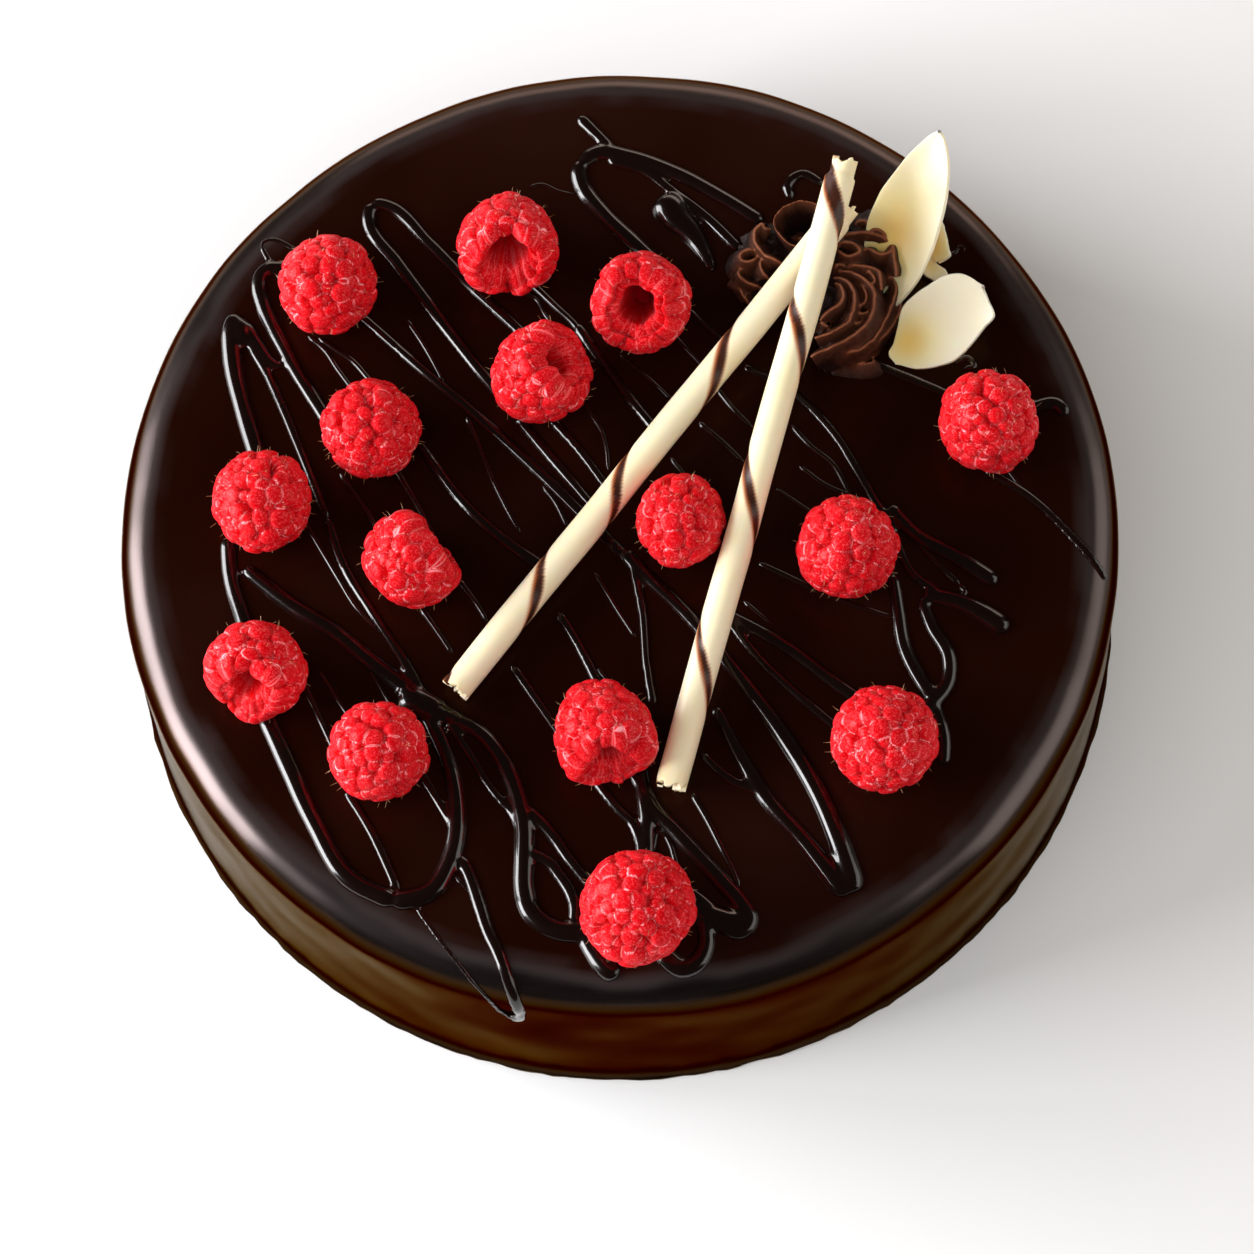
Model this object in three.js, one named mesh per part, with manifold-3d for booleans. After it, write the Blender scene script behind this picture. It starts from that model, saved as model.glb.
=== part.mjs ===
// A round chocolate cake under dark poured glaze, with chocolate drizzle, fifteen raspberries,
// two piped rosettes, two rolled white chocolate sticks and four white chocolate petals.
// Millimetres, +Z up. The origin is the middle of the cake's underside.

import * as THREE from "three";
import { ConvexHull } from "three/addons/math/ConvexHull.js";
import { mergeVertices } from "three/addons/utils/BufferGeometryUtils.js";
import Module from "manifold-3d";

// Cake
const BASE_RADIUS = 115;
const TOP_RADIUS = 112;
const CAKE_HEIGHT = 59;
const EDGE_ROUNDING = 8.5;
const FOOT_HEIGHT = 1.4;
const FOOT_LIP = 1.1;
const WALL_WAVE = 0.55;
const CAKE_SIDES = 72;
const EDGE_STEPS = 4;

// What lies on the cake keeps this gap to it and to its neighbours
const GAP = 0.3;

// Drizzle, for a width of 1: its height, its crown's width, its foot's width and a blunt end's width.
// Its foot is sunk this deep into the glaze, and it has a section at each step of its route.
const RIDGE_HEIGHT = 0.42;
const RIDGE_CROWN = 0.5;
const RIDGE_SPREAD = 1.15;
const RIDGE_END = 0.45;
const RIDGE_FOOT = 0.8;
const RIDGE_STEP = 6;
const DRIZZLE_CLEARANCE = 0.9;

// Raspberries, for a widest radius of 1
const BERRY_LENGTH = 1.02;
const DRUPELET_PITCH = 0.575;
const DRUPELET_ROW_PITCH = 0.495;
const DRUPELET_BUMP = 0.022;
const DRUPELET_VALLEY = 0.035;
const DRUPELET_JITTER = 0.12;

// Rolled sticks
const STICK_RADIUS = 3.45;
const STICK_BORE = 1.85;
const STICK_SIDES = 12;
const STICK_RINGS = 16;
const STICK_TWIST_PITCH = 35;
const STICK_BULGE = 0.15;
const STICK_WAVER = 0.3;
const BORE_RINGS = 4;
const BREAK_DEPTH = 1.1;

// Piped rosettes
const FIN_PITCH = 3.5;
const FIN_ARMS = 2;
const FIN_DEPTH = 2.3;
const ROSETTE_RINGS = 13;
const ROSETTE_SIDES = 32;
const CURL_WALL = 1.3;

// Petals
const PETAL_THICKNESS = 1.3;
const PETAL_EDGE = 0.75;
const PETAL_BLUNT = 0.07;

// The routes of the thick drizzle in plan: width at each end, then points from the cake's middle.
const STROKES = [
  { from: 3.2, to: 3.4, route: [[8.4, 64.9], [0.2, 74.3], [-4.4, 82], [-5, 87.6]] },
  { from: 3.4, to: 3, route: [[-4.6, 87], [-0.5, 89.5], [7, 88], [17.2, 83.4], [27, 77], [36.4, 69.8]] },
  { from: 3, to: 1.8, route: [[-4.3, 99], [-1, 95], [3.2, 90.2]] },
  { from: 2.2, to: 2.6, route: [[2, 87.4], [9.6, 84.6], [16, 79], [24, 71.5], [31, 63]] },
  { from: 6, to: 1.8, route: [[14.6, 77.5], [16.5, 73], [20.5, 68.2], [24.8, 59]] },
  {
    from: 3, to: 2.4,
    route: [[-53, 80], [-53.4, 75.5], [-47.3, 64.9], [-39.5, 52.6], [-31, 39.4], [-27, 33.5]],
  },
  { from: 2.8, to: 2.2, route: [[-52.6, 80.3], [-48.6, 79], [-39.8, 69.2], [-31, 58.6], [-19.8, 46.1]] },
  { from: 2.6, to: 1.8, route: [[-75.5, 72], [-79, 66], [-78.6, 56], [-71.8, 40], [-66.1, 28.8]] },
  { from: 4.2, to: 3.2, route: [[-84, 54], [-86.4, 46.5], [-84.3, 33.1], [-80.8, 21.3]] },
  { from: 2, to: 1.8, route: [[-82, 51], [-78.5, 41.5], [-74.2, 31.3], [-70.5, 20], [-65, 4]] },
  { from: 1.8, to: 2.4, route: [[-65, 4], [-61.8, -7.4], [-55.5, -19.3], [-48, -33], [-44.6, -41]] },
  { from: 3.2, to: 3.4, route: [[-87.4, 1], [-86.8, -9.3], [-84.3, -19.3]] },
  { from: 3.6, to: 4, route: [[-79.9, -41.8], [-75.5, -53], [-69.9, -66.8], [-63, -79.3], [-53, -85.4]] },
  {
    from: 4.4, to: 3,
    route: [[-54, -85.4], [-45, -83], [-40.3, -75], [-38.9, -64], [-40.5, -53.6], [-45, -42]],
  },
  {
    from: 3.2, to: 4,
    route: [[-84, -6.5], [-74.3, -15.5], [-64.3, -23], [-55.5, -31.1], [-47, -38.5], [-40, -43.5]],
  },
  { from: 3.4, to: 4, route: [[-42, -42], [-32, -49.3], [-26.6, -59], [-24.4, -71], [-24.4, -83]] },
  { from: 4, to: 3.6, route: [[-24.5, -82], [-22.6, -90], [-17, -93.6], [-12, -94]] },
  { from: 3, to: 4.6, route: [[-12.6, -93.8], [-8.8, -99.6], [-5.9, -103]] },
  { from: 1.8, to: 1.8, route: [[-40, -45], [-34.8, -54.3], [-26, -69]] },
  { from: 2, to: 1.8, route: [[-22.5, -67], [-16, -75.5], [-9, -87]] },
  { from: 2, to: 2, route: [[-22.6, -73], [-18.5, -81.1], [-14.8, -89]] },
  { from: 1.8, to: 1.8, route: [[-63, -59.5], [-58.6, -67.4], [-52.4, -82.6]] },
  { from: 1.8, to: 1.8, route: [[-45, -59], [-39.6, -69.5]] },
  {
    from: 1.8, to: 2.8,
    route: [[-51.8, 48.1], [-43, 38.8], [-33, 28.8], [-20.4, 15.6], [-9.1, 2.5], [0.2, -8.5]],
  },
  { from: 3.2, to: 2.6, route: [[0.1, -7.6], [5.9, -14.4], [12.9, -22.4], [20, -32]] },
  { from: 2, to: 1.8, route: [[2.2, -10.5], [4, -23], [4.2, -34], [5.2, -44.3]] },
  { from: 2.8, to: 4, route: [[19.2, -31], [28, -44], [34.5, -55], [40, -66], [44, -78], [46, -86.6]] },
  { from: 2.4, to: 3.8, route: [[18.5, -45], [23, -55.5], [28.5, -66.5], [36, -76.5], [43.6, -87]] },
  { from: 1.8, to: 1.8, route: [[14.8, -55.5], [21, -61.8], [27.5, -65.5]] },
  { from: 2.6, to: 3, route: [[21.4, -23.4], [28, -27.3], [36.5, -33.2], [45, -41], [51, -46]] },
  { from: 1.8, to: 2, route: [[22, -24], [29.8, -35.5], [36, -42.4], [46, -52.4]] },
  { from: 2.6, to: 3.2, route: [[5.4, -64], [13, -75.5], [20, -85], [23, -92]] },
  { from: 3.4, to: 2.4, route: [[22.8, -92.6], [19.4, -95.6], [15, -93], [11.4, -87]] },
  { from: 2.6, to: 3, route: [[13, -90], [13.3, -98], [10, -102], [4.6, -100.4]] },
  { from: 2, to: 2.4, route: [[-8.6, -60], [-3, -68.8], [-0.6, -77]] },
  { from: 3, to: 3.4, route: [[60, -0.5], [65.5, -7.5], [73.5, -12.8], [82.8, -20.2]] },
  { from: 3, to: 4.6, route: [[66, -21.8], [73, -23.5], [79, -27], [84.2, -31.3]] },
  { from: 1.8, to: 2, route: [[61, -8], [64, -16.5], [69, -21], [75.5, -24.6]] },
  { from: 2.6, to: 3.2, route: [[60.4, -25], [61, -33], [63.4, -40], [67, -46.5]] },
  { from: 2.4, to: 3.6, route: [[65.6, -22.6], [67.6, -29.5], [70.6, -36], [70, -42.5], [66.4, -47]] },
  { from: 2, to: 3.2, route: [[66.8, -46.6], [68.2, -55], [67.6, -61.5]] },
  { from: 2.2, to: 3, route: [[93.6, 21], [99.4, 21.6], [101.6, 18.4]] },
  { from: 1.8, to: 1.8, route: [[83, 6.3], [91.8, -0.5], [101.8, -12.4], [107.5, -20.5]] },
  { from: 2.2, to: 2.2, route: [[43.3, 75], [42.8, 79.2], [46, 81.3], [51, 78.2]] },
  { from: 2, to: 1.8, route: [[57, 34.8], [66.5, 30], [74.8, 25.6]] },
  { from: 2.2, to: 1.8, route: [[-39, -76], [-34.2, -86], [-31, -97], [-28.6, -106.5]] },
  { from: 2.2, to: 2, route: [[-7.5, 47.5], [-1.6, 37.5], [5.9, 25.6], [12, 17]] },
  { from: 1.8, to: 1.8, route: [[29.8, 35], [41.6, 26.9], [49.8, 16.3], [53.5, 8.8], [56.6, 1.9]] },
  { from: 1.8, to: 2.8, route: [[-42.9, 18.8], [-35, 6.5], [-27, -2.5], [-17.5, -10.5]] },
  { from: 2.4, to: 2, route: [[-21.6, 25.6], [-11, 10.6], [-4.6, 1.6]] },
  { from: 2, to: 1.8, route: [[-14, 24.6], [-8.5, 17.5], [-2, 7]] },
  { from: 1.8, to: 2.2, route: [[-14.8, -21], [-11.6, -27], [-7, -37.5]] },
  { from: 1.8, to: 1.8, route: [[-25.4, -33], [-15.6, -49.5]] },
];

// Each raspberry's place in plan, its widest radius and the way its tip points.
// One that shows its hollow is open at the end away from the tip.
const BERRIES = [
  { at: [-62.4, 56], radius: 11.2, tip: [0.1, -0.2, 1] },
  { at: [-21.5, 63.6], radius: 11.2, tip: [-0.29, 0.77, -0.57], hollow: true },
  { at: [7.6, 47.6], radius: 11.2, tip: [0.31, 0.56, -0.77], hollow: true },
  { at: [-16, 31.4], radius: 11.2, tip: [-0.68, -0.06, -0.73], hollow: true },
  { at: [-54.3, 20.4], radius: 11.2, tip: [-0.25, -0.3, 0.9] },
  { at: [-78.5, 4.5], radius: 11.3, tip: [0.2, -0.45, 0.85] },
  { at: [-46.7, -11.1], radius: 10.4, tip: [-0.9, -0.15, -0.25], hollow: true },
  { at: [-80.6, -33.7], radius: 11.3, tip: [0.32, 0.77, -0.55], hollow: true },
  { at: [-54.9, -54.4], radius: 11.1, tip: [0.1, -0.1, 1] },
  { at: [-5.9, -52.6], radius: 11, tip: [-0.2, 0.72, -0.67], hollow: true },
  { at: [13.4, -5.7], radius: 9.3, tip: [-0.15, -0.75, 0.6] },
  { at: [49.7, -14], radius: 11.4, tip: [0.1, -0.35, 0.9] },
  { at: [83, 14.3], radius: 11.2, tip: [-0.1, 0.1, 1] },
  { at: [54.6, -58], radius: 11.6, tip: [0.15, -0.25, 0.95] },
  { at: [-0.4, -91.7], radius: 12.6, tip: [0.25, 0.1, 0.95] },
];

// A raspberry's outline from tip to base, as radius and height for a widest radius of 1
const CLOSED_OUTLINE = [
  [0, 1.02], [0.42, 0.93], [0.76, 0.62], [0.95, 0.15], [0.95, -0.35], [0.78, -0.76], [0.4, -0.92], [0, -0.94],
];
const HOLLOW_OUTLINE = [
  [0, 1.02], [0.42, 0.93], [0.76, 0.62], [0.95, 0.15], [0.95, -0.35], [0.82, -0.74],
  [0.62, -0.88], [0.44, -0.7], [0.36, -0.25], [0.22, 0.1], [0, 0.2],
];

// Both sticks lie with one end on the glaze and rise over the rosettes; the second crosses the first.
const STICKS = [
  { name: "stick_under", from: [-38.5, -39.5, 3.9], to: [55.7, 66.8, 14.2], seed: 11 },
  { name: "stick_over", from: [7.5, -64.6, 3.9], to: [54.6, 72.5, 24], seed: 23 },
];

const ROSETTES = [
  { name: "rosette_left", at: [40.5, 60], radius: 11.2, height: 10.5, turn: 0.4, wave: 0.07 },
  { name: "rosette_right", at: [55.2, 49.6], radius: 12.8, height: 12.5, turn: 2.6, wave: 0.04 },
];

// The open curls of the left rosette: middle, radius at the foot and rim, start angle and sweep, height
const CURLS = [
  { at: [43.2, 63.6], foot: 3.4, rim: 6.2, start: 0.2, sweep: 4.9, height: 12.5 },
  { at: [33.8, 62.6], foot: 1.6, rim: 3.3, start: 1.2, sweep: 4.6, height: 9.5 },
  { at: [32.4, 55.6], foot: 1.6, rim: 3, start: 2.2, sweep: 4.4, height: 8 },
];

// Each petal runs from its base to its tip; its inside faces the way of "up".
const PETALS = [
  {
    name: "petal_tall", base: [61, 47.7, 3], tip: [75.9, 78.5, 25], up: [-0.56, -0.29, 0.78],
    width: 17.5, widest: 0.39, point: 0.55, cup: 3, bow: 2.2, steps: [12, 6],
  },
  {
    name: "petal_round", base: [63.6, 32.3, 3.4], tip: [84, 45.4, 13], up: [-0.2, -0.36, 0.91],
    width: 17.4, widest: 0.59, point: 0.38, cup: 2.4, bow: 1.8, steps: [9, 6],
  },
  {
    name: "petal_small_1", base: [71, 55, 3.4], tip: [77.4, 62.6, 6.6], up: [-0.3, -0.3, 0.9],
    width: 7.5, widest: 0.6, point: 0.7, cup: 0.8, bow: 0.6, steps: [5, 3],
  },
  {
    name: "petal_small_2", base: [70.4, 55, 1.2], tip: [76.6, 50.4, 2.4], up: [0.1, -0.2, 0.95],
    width: 5.5, widest: 0.55, point: 0.8, cup: 0.5, bow: 0.4, steps: [4, 3],
  },
];

const GLAZE = { color: 0x1b0d09, roughness: 0.12, metalness: 0 };
const RASPBERRY = { color: 0xb8142a, roughness: 0.4, metalness: 0 };
const WHITE_CHOCOLATE = { color: 0xf6e3ae, roughness: 0.38, metalness: 0 };
const PIPED_GANACHE = { color: 0x4a2213, roughness: 0.5, metalness: 0 };

const wasm = await Module();
wasm.setup();

// A seeded source of even numbers from 0 to 1.
function seeded(seed) {
  let state = seed >>> 0;
  return () => {
    state = (state * 1664525 + 1013904223) >>> 0;
    return state / 4294967296;
  };
}

function smooth(value, low, high) {
  return THREE.MathUtils.smoothstep(value, low, high);
}

function geometryOf(points, triangles) {
  const geometry = new THREE.BufferGeometry();
  geometry.setAttribute("position", new THREE.Float32BufferAttribute(points.flat(), 3));
  geometry.setIndex(triangles.flat());
  geometry.computeVertexNormals();
  return geometry;
}

function solidOf(geometry) {
  const bare = geometry.clone();
  bare.deleteAttribute("normal");
  bare.deleteAttribute("uv");
  const merged = mergeVertices(bare, 1e-3);
  return new wasm.Manifold(
    new wasm.Mesh({
      numProp: 3,
      vertProperties: new Float32Array(merged.attributes.position.array),
      triVerts: new Uint32Array(merged.index.array),
    }),
  );
}

function geometryOfSolid(solid) {
  const mesh = solid.getMesh();
  const points = [];
  for (let i = 0; i < mesh.numVert; i++) {
    points.push(Array.from(mesh.vertProperties.subarray(i * mesh.numProp, i * mesh.numProp + 3)));
  }
  return geometryOf(points, [Array.from(mesh.triVerts)]);
}

function named(name, geometry, finish) {
  const mesh = new THREE.Mesh(geometry, new THREE.MeshStandardMaterial(finish));
  mesh.name = name;
  return mesh;
}

// Two closed rings of the same count joined by a band; the outside is on the right of first to second.
function band(triangles, first, second, count) {
  for (let i = 0; i < count; i++) {
    const next = (i + 1) % count;
    triangles.push([first + i, first + next, second + next], [first + i, second + next, second + i]);
  }
}

// The height of the glaze over the cake's underside, at a distance from the middle.
function glazeHeight(distance) {
  const flat = TOP_RADIUS - EDGE_ROUNDING;
  const over = Math.min(Math.max(distance - flat, 0), EDGE_ROUNDING);
  return CAKE_HEIGHT - EDGE_ROUNDING + Math.sqrt(EDGE_ROUNDING ** 2 - over ** 2);
}

// The cake's body: a foot lip, a wall that leans in a little, a rounded edge and a flat top.
function cakeBody() {
  const profile = [
    new THREE.Vector2(0, 0),
    new THREE.Vector2(BASE_RADIUS, 0),
    new THREE.Vector2(BASE_RADIUS, FOOT_HEIGHT),
    new THREE.Vector2(BASE_RADIUS - FOOT_LIP, FOOT_HEIGHT * 2),
    new THREE.Vector2((BASE_RADIUS - FOOT_LIP + TOP_RADIUS) / 2, CAKE_HEIGHT * 0.45),
  ];
  for (let i = 0; i <= EDGE_STEPS; i++) {
    const angle = (i / EDGE_STEPS) * (Math.PI / 2);
    profile.push(
      new THREE.Vector2(
        TOP_RADIUS - EDGE_ROUNDING * (1 - Math.cos(angle)),
        CAKE_HEIGHT - EDGE_ROUNDING * (1 - Math.sin(angle)),
      ),
    );
  }
  profile.push(new THREE.Vector2(0, CAKE_HEIGHT));
  const body = new THREE.LatheGeometry(profile, CAKE_SIDES).rotateX(Math.PI / 2);
  const at = body.attributes.position;
  for (let i = 0; i < at.count; i++) {
    const angle = Math.round((Math.atan2(at.getY(i), at.getX(i)) / (2 * Math.PI)) * CAKE_SIDES);
    const turn = (angle / CAKE_SIDES) * 2 * Math.PI;
    const wave = Math.sin(3 * turn + 0.7) * 0.5 + Math.sin(7 * turn + 2.1) * 0.3 + Math.sin(11 * turn) * 0.2;
    const share = smooth(at.getZ(i), FOOT_HEIGHT, CAKE_HEIGHT * 0.4);
    const radius = Math.hypot(at.getX(i), at.getY(i));
    const factor = 1 + (radius > 1 ? (WALL_WAVE * wave * share) / radius : 0);
    at.setXY(i, at.getX(i) * factor, at.getY(i) * factor);
  }
  return solidOf(body);
}

// One stroke of drizzle: a low ridge along its route, its foot inside the glaze.
function ridge({ from, to, route }) {
  const line = new THREE.CatmullRomCurve3(
    route.map(([x, y]) => new THREE.Vector3(x, y, glazeHeight(Math.hypot(x, y)))),
    false,
    "centripetal",
  );
  const steps = Math.max(2, Math.round(line.getLength() / RIDGE_STEP));
  const points = [];
  const triangles = [];
  for (let i = 0; i <= steps; i++) {
    const share = i / steps;
    const middle = line.getPointAt(share);
    const along = line.getTangentAt(share).setZ(0).normalize();
    const across = new THREE.Vector3(-along.y, along.x, 0);
    const end = i === 0 || i === steps ? RIDGE_END : 1;
    const half = (THREE.MathUtils.lerp(from, to, share) / 2) * end;
    const ground = glazeHeight(Math.hypot(middle.x, middle.y));
    const height = half * 2 * RIDGE_HEIGHT;
    const section = [
      [half * RIDGE_SPREAD, -RIDGE_FOOT],
      [half * RIDGE_CROWN, height],
      [-half * RIDGE_CROWN, height],
      [-half * RIDGE_SPREAD, -RIDGE_FOOT],
    ];
    for (const [side, up] of section) {
      points.push([middle.x + across.x * side, middle.y + across.y * side, ground + up]);
    }
    if (i > 0) band(triangles, (i - 1) * 4, i * 4, 4);
  }
  const last = steps * 4;
  triangles.push([0, 3, 2], [0, 2, 1]);
  triangles.push([last, last + 1, last + 2], [last, last + 2, last + 3]);
  return solidOf(geometryOf(points, triangles));
}

// A seed line of drupelets round the berry at each step of its outline.
function drupeletPlaces(outline, draw) {
  const curve = new THREE.CatmullRomCurve3(
    outline.map(([across, up]) => new THREE.Vector3(across, 0, up * BERRY_LENGTH)),
    false,
    "centripetal",
  );
  const rows = Math.round(curve.getLength() / DRUPELET_ROW_PITCH);
  const places = [];
  for (let row = 0; row <= rows; row++) {
    const share = row / rows;
    const around = curve.getPointAt(share).x;
    const count = Math.max(1, Math.round((2 * Math.PI * around) / DRUPELET_PITCH));
    const offset = draw() * 2 * Math.PI;
    for (let i = 0; i < count; i++) {
      const loose = count > 1 ? DRUPELET_JITTER : 0;
      const turn = offset + ((i + (draw() - 0.5) * loose * 2) / count) * 2 * Math.PI;
      const along = THREE.MathUtils.clamp(share + ((draw() - 0.5) * loose) / rows, 0, 1);
      places.push({ turn, along });
    }
  }
  return { curve, places };
}

// A raspberry: every drupelet is a fan of faces round its raised middle, with valleys between.
function raspberry({ at, radius, tip, hollow }, number) {
  const draw = seeded(700 + number * 37);
  const { curve, places } = drupeletPlaces(hollow ? HOLLOW_OUTLINE : CLOSED_OUTLINE, draw);
  const onBall = places.map(({ turn, along }) => {
    const polar = THREE.MathUtils.clamp(along, 0.001, 0.999) * Math.PI;
    const across = Math.sin(polar);
    return new THREE.Vector3(across * Math.cos(turn), across * Math.sin(turn), Math.cos(polar));
  });
  const onBerry = places.map(({ turn, along }) => {
    const middle = curve.getPointAt(along);
    const tangent = curve.getTangentAt(along);
    const point = new THREE.Vector3(middle.x * Math.cos(turn), middle.x * Math.sin(turn), middle.z);
    const normal = new THREE.Vector3(-tangent.z * Math.cos(turn), -tangent.z * Math.sin(turn), tangent.x);
    const size = THREE.MathUtils.lerp(0.8, 1.25, draw());
    return { point, normal, bump: DRUPELET_BUMP * size * (middle.x < 0.4 && along > 0.5 ? 0.2 : 1) };
  });
  const hull = new ConvexHull().setFromPoints(onBall);
  const index = new Map(onBall.map((point, i) => [point, i]));
  const corner = new Map(hull.faces.map((face, i) => [face, places.length + i]));
  const points = onBerry.map(({ point, normal, bump }) => point.clone().addScaledVector(normal, bump));
  for (const face of hull.faces) {
    const three = [0, 1, 2].map((i) => onBerry[index.get(face.getEdge(i).head().point)]);
    const middle = new THREE.Vector3();
    const normal = new THREE.Vector3();
    for (const one of three) {
      middle.addScaledVector(one.point, 1 / 3);
      normal.add(one.normal);
    }
    let sag = 0;
    for (const one of three) sag += one.point.clone().sub(middle).dot(one.normal) / 6;
    points.push(middle.addScaledVector(normal.normalize(), sag - DRUPELET_VALLEY));
  }
  const triangles = [];
  for (const face of hull.faces) {
    for (let i = 0; i < 3; i++) {
      const edge = face.getEdge(i);
      triangles.push([index.get(edge.tail().point), corner.get(edge.twin.face), corner.get(face)]);
    }
  }
  const lean = new THREE.Quaternion().setFromUnitVectors(
    new THREE.Vector3(0, 0, 1),
    new THREE.Vector3(...tip).normalize(),
  );
  for (const point of points) point.multiplyScalar(radius).applyQuaternion(lean);
  const lowest = Math.min(...points.map((point) => point.z));
  const lift = new THREE.Vector3(at[0], at[1], CAKE_HEIGHT + GAP - lowest);
  return geometryOf(points.map((point) => point.add(lift).toArray()), triangles);
}

// The line of a stick's middle: straight, with the slight waver of rolled chocolate.
function stickLine({ from, to, seed }) {
  const start = new THREE.Vector3(from[0], from[1], from[2] + CAKE_HEIGHT);
  const end = new THREE.Vector3(to[0], to[1], to[2] + CAKE_HEIGHT);
  const along = end.clone().sub(start).normalize();
  const side = new THREE.Vector3(-along.y, along.x, 0).normalize();
  const over = new THREE.Vector3().crossVectors(along, side);
  const length = start.distanceTo(end);
  const middle = (share) => {
    const waver = STICK_WAVER * Math.sin(share * 17 + seed);
    return start.clone().lerp(end, share).addScaledVector(side, waver);
  };
  return { side, over, along, length, middle };
}

// A rolled stick: a thick-walled tube with broken ends, a little fuller along its winding.
function stick(place) {
  const { side, over, along, length, middle } = stickLine(place);
  const draw = seeded(place.seed);
  const points = [];
  const triangles = [];
  const ring = (share, radius, bulge, nicks) => {
    for (let i = 0; i < STICK_SIDES; i++) {
      const turn = (i / STICK_SIDES) * 2 * Math.PI;
      const winding = Math.cos(turn - (share * length * 2 * Math.PI) / STICK_TWIST_PITCH);
      const reach = radius + bulge * winding;
      const point = middle(share)
        .addScaledVector(side, reach * Math.cos(turn))
        .addScaledVector(over, reach * Math.sin(turn))
        .addScaledVector(along, nicks ? nicks[i] : 0);
      points.push(point.toArray());
    }
  };
  const nicksAt = (sign) => Array.from({ length: STICK_SIDES }, () => sign * BREAK_DEPTH * draw());
  const firstNicks = nicksAt(1);
  const lastNicks = nicksAt(-1);
  for (let i = 0; i <= STICK_RINGS; i++) {
    const nicks = i === 0 ? firstNicks : i === STICK_RINGS ? lastNicks : null;
    ring(i / STICK_RINGS, STICK_RADIUS, STICK_BULGE, nicks);
    if (i > 0) band(triangles, (i - 1) * STICK_SIDES, i * STICK_SIDES, STICK_SIDES);
  }
  const outerEnd = STICK_RINGS * STICK_SIDES;
  const inner = points.length;
  for (let i = 0; i <= BORE_RINGS; i++) {
    const nicks = i === 0 ? lastNicks : i === BORE_RINGS ? firstNicks : null;
    ring(1 - i / BORE_RINGS, STICK_BORE, 0, nicks);
    if (i > 0) band(triangles, inner + (i - 1) * STICK_SIDES, inner + i * STICK_SIDES, STICK_SIDES);
  }
  band(triangles, outerEnd, inner, STICK_SIDES);
  band(triangles, inner + BORE_RINGS * STICK_SIDES, 0, STICK_SIDES);
  return geometryOf(points, triangles);
}

// A round bar along a stick, wider by the gap, that keeps its neighbours clear of it.
function stickClearance(place) {
  const { side, over, along, length, middle } = stickLine(place);
  const points = [];
  const triangles = [];
  const shares = [-0.02, 0.2, 0.4, 0.6, 0.8, 1.02];
  const reach = (STICK_RADIUS + STICK_BULGE + GAP + 0.1) / Math.cos(Math.PI / STICK_SIDES);
  shares.forEach((share, i) => {
    for (let j = 0; j < STICK_SIDES; j++) {
      const turn = (j / STICK_SIDES) * 2 * Math.PI;
      const point = middle(0).lerp(middle(1), share).addScaledVector(side, reach * Math.cos(turn));
      points.push(point.addScaledVector(over, reach * Math.sin(turn)).toArray());
    }
    if (i > 0) band(triangles, (i - 1) * STICK_SIDES, i * STICK_SIDES, STICK_SIDES);
  });
  const last = (shares.length - 1) * STICK_SIDES;
  for (let j = 1; j < STICK_SIDES - 1; j++) {
    triangles.push([0, j + 1, j], [last, last + j, last + j + 1]);
  }
  return solidOf(geometryOf(points, triangles));
}

// A piped mound: a dome with thin fins that spiral out from its middle.
function mound({ at, radius, height, turn, wave }) {
  const points = [[at[0], at[1], CAKE_HEIGHT + height * 0.8]];
  const triangles = [];
  for (let ring = 1; ring <= ROSETTE_RINGS; ring++) {
    const share = ring / ROSETTE_RINGS;
    for (let i = 0; i < ROSETTE_SIDES; i++) {
      const angle = (i / ROSETTE_SIDES) * 2 * Math.PI;
      const edge = radius * (1 + wave * Math.sin(5 * angle + turn * 3));
      const reach = edge * Math.sin(share * Math.PI * 0.5) ** 0.9;
      const phase = (reach / FIN_PITCH) * 2 * Math.PI - FIN_ARMS * angle - turn;
      const fin = Math.abs(Math.sin(phase / 2));
      const dome = Math.sqrt(Math.max(0, 1 - share ** 2.6));
      const dip = FIN_DEPTH * fin * Math.min(1, dome * 1.6) * smooth(share, 0, 0.2);
      const up = Math.max(GAP, GAP + (height - GAP) * dome - dip);
      points.push([at[0] + reach * Math.cos(angle), at[1] + reach * Math.sin(angle), CAKE_HEIGHT + up]);
    }
    const first = 1 + (ring - 1) * ROSETTE_SIDES;
    if (ring > 1) band(triangles, first, first - ROSETTE_SIDES, ROSETTE_SIDES);
  }
  for (let i = 0; i < ROSETTE_SIDES; i++) triangles.push([0, 1 + i, 1 + ((i + 1) % ROSETTE_SIDES)]);
  const rim = 1 + (ROSETTE_RINGS - 1) * ROSETTE_SIDES;
  const under = points.length;
  points.push([at[0], at[1], CAKE_HEIGHT + GAP]);
  for (let i = 0; i < ROSETTE_SIDES; i++) triangles.push([under, rim + ((i + 1) % ROSETTE_SIDES), rim + i]);
  return solidOf(geometryOf(points, triangles));
}

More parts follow.
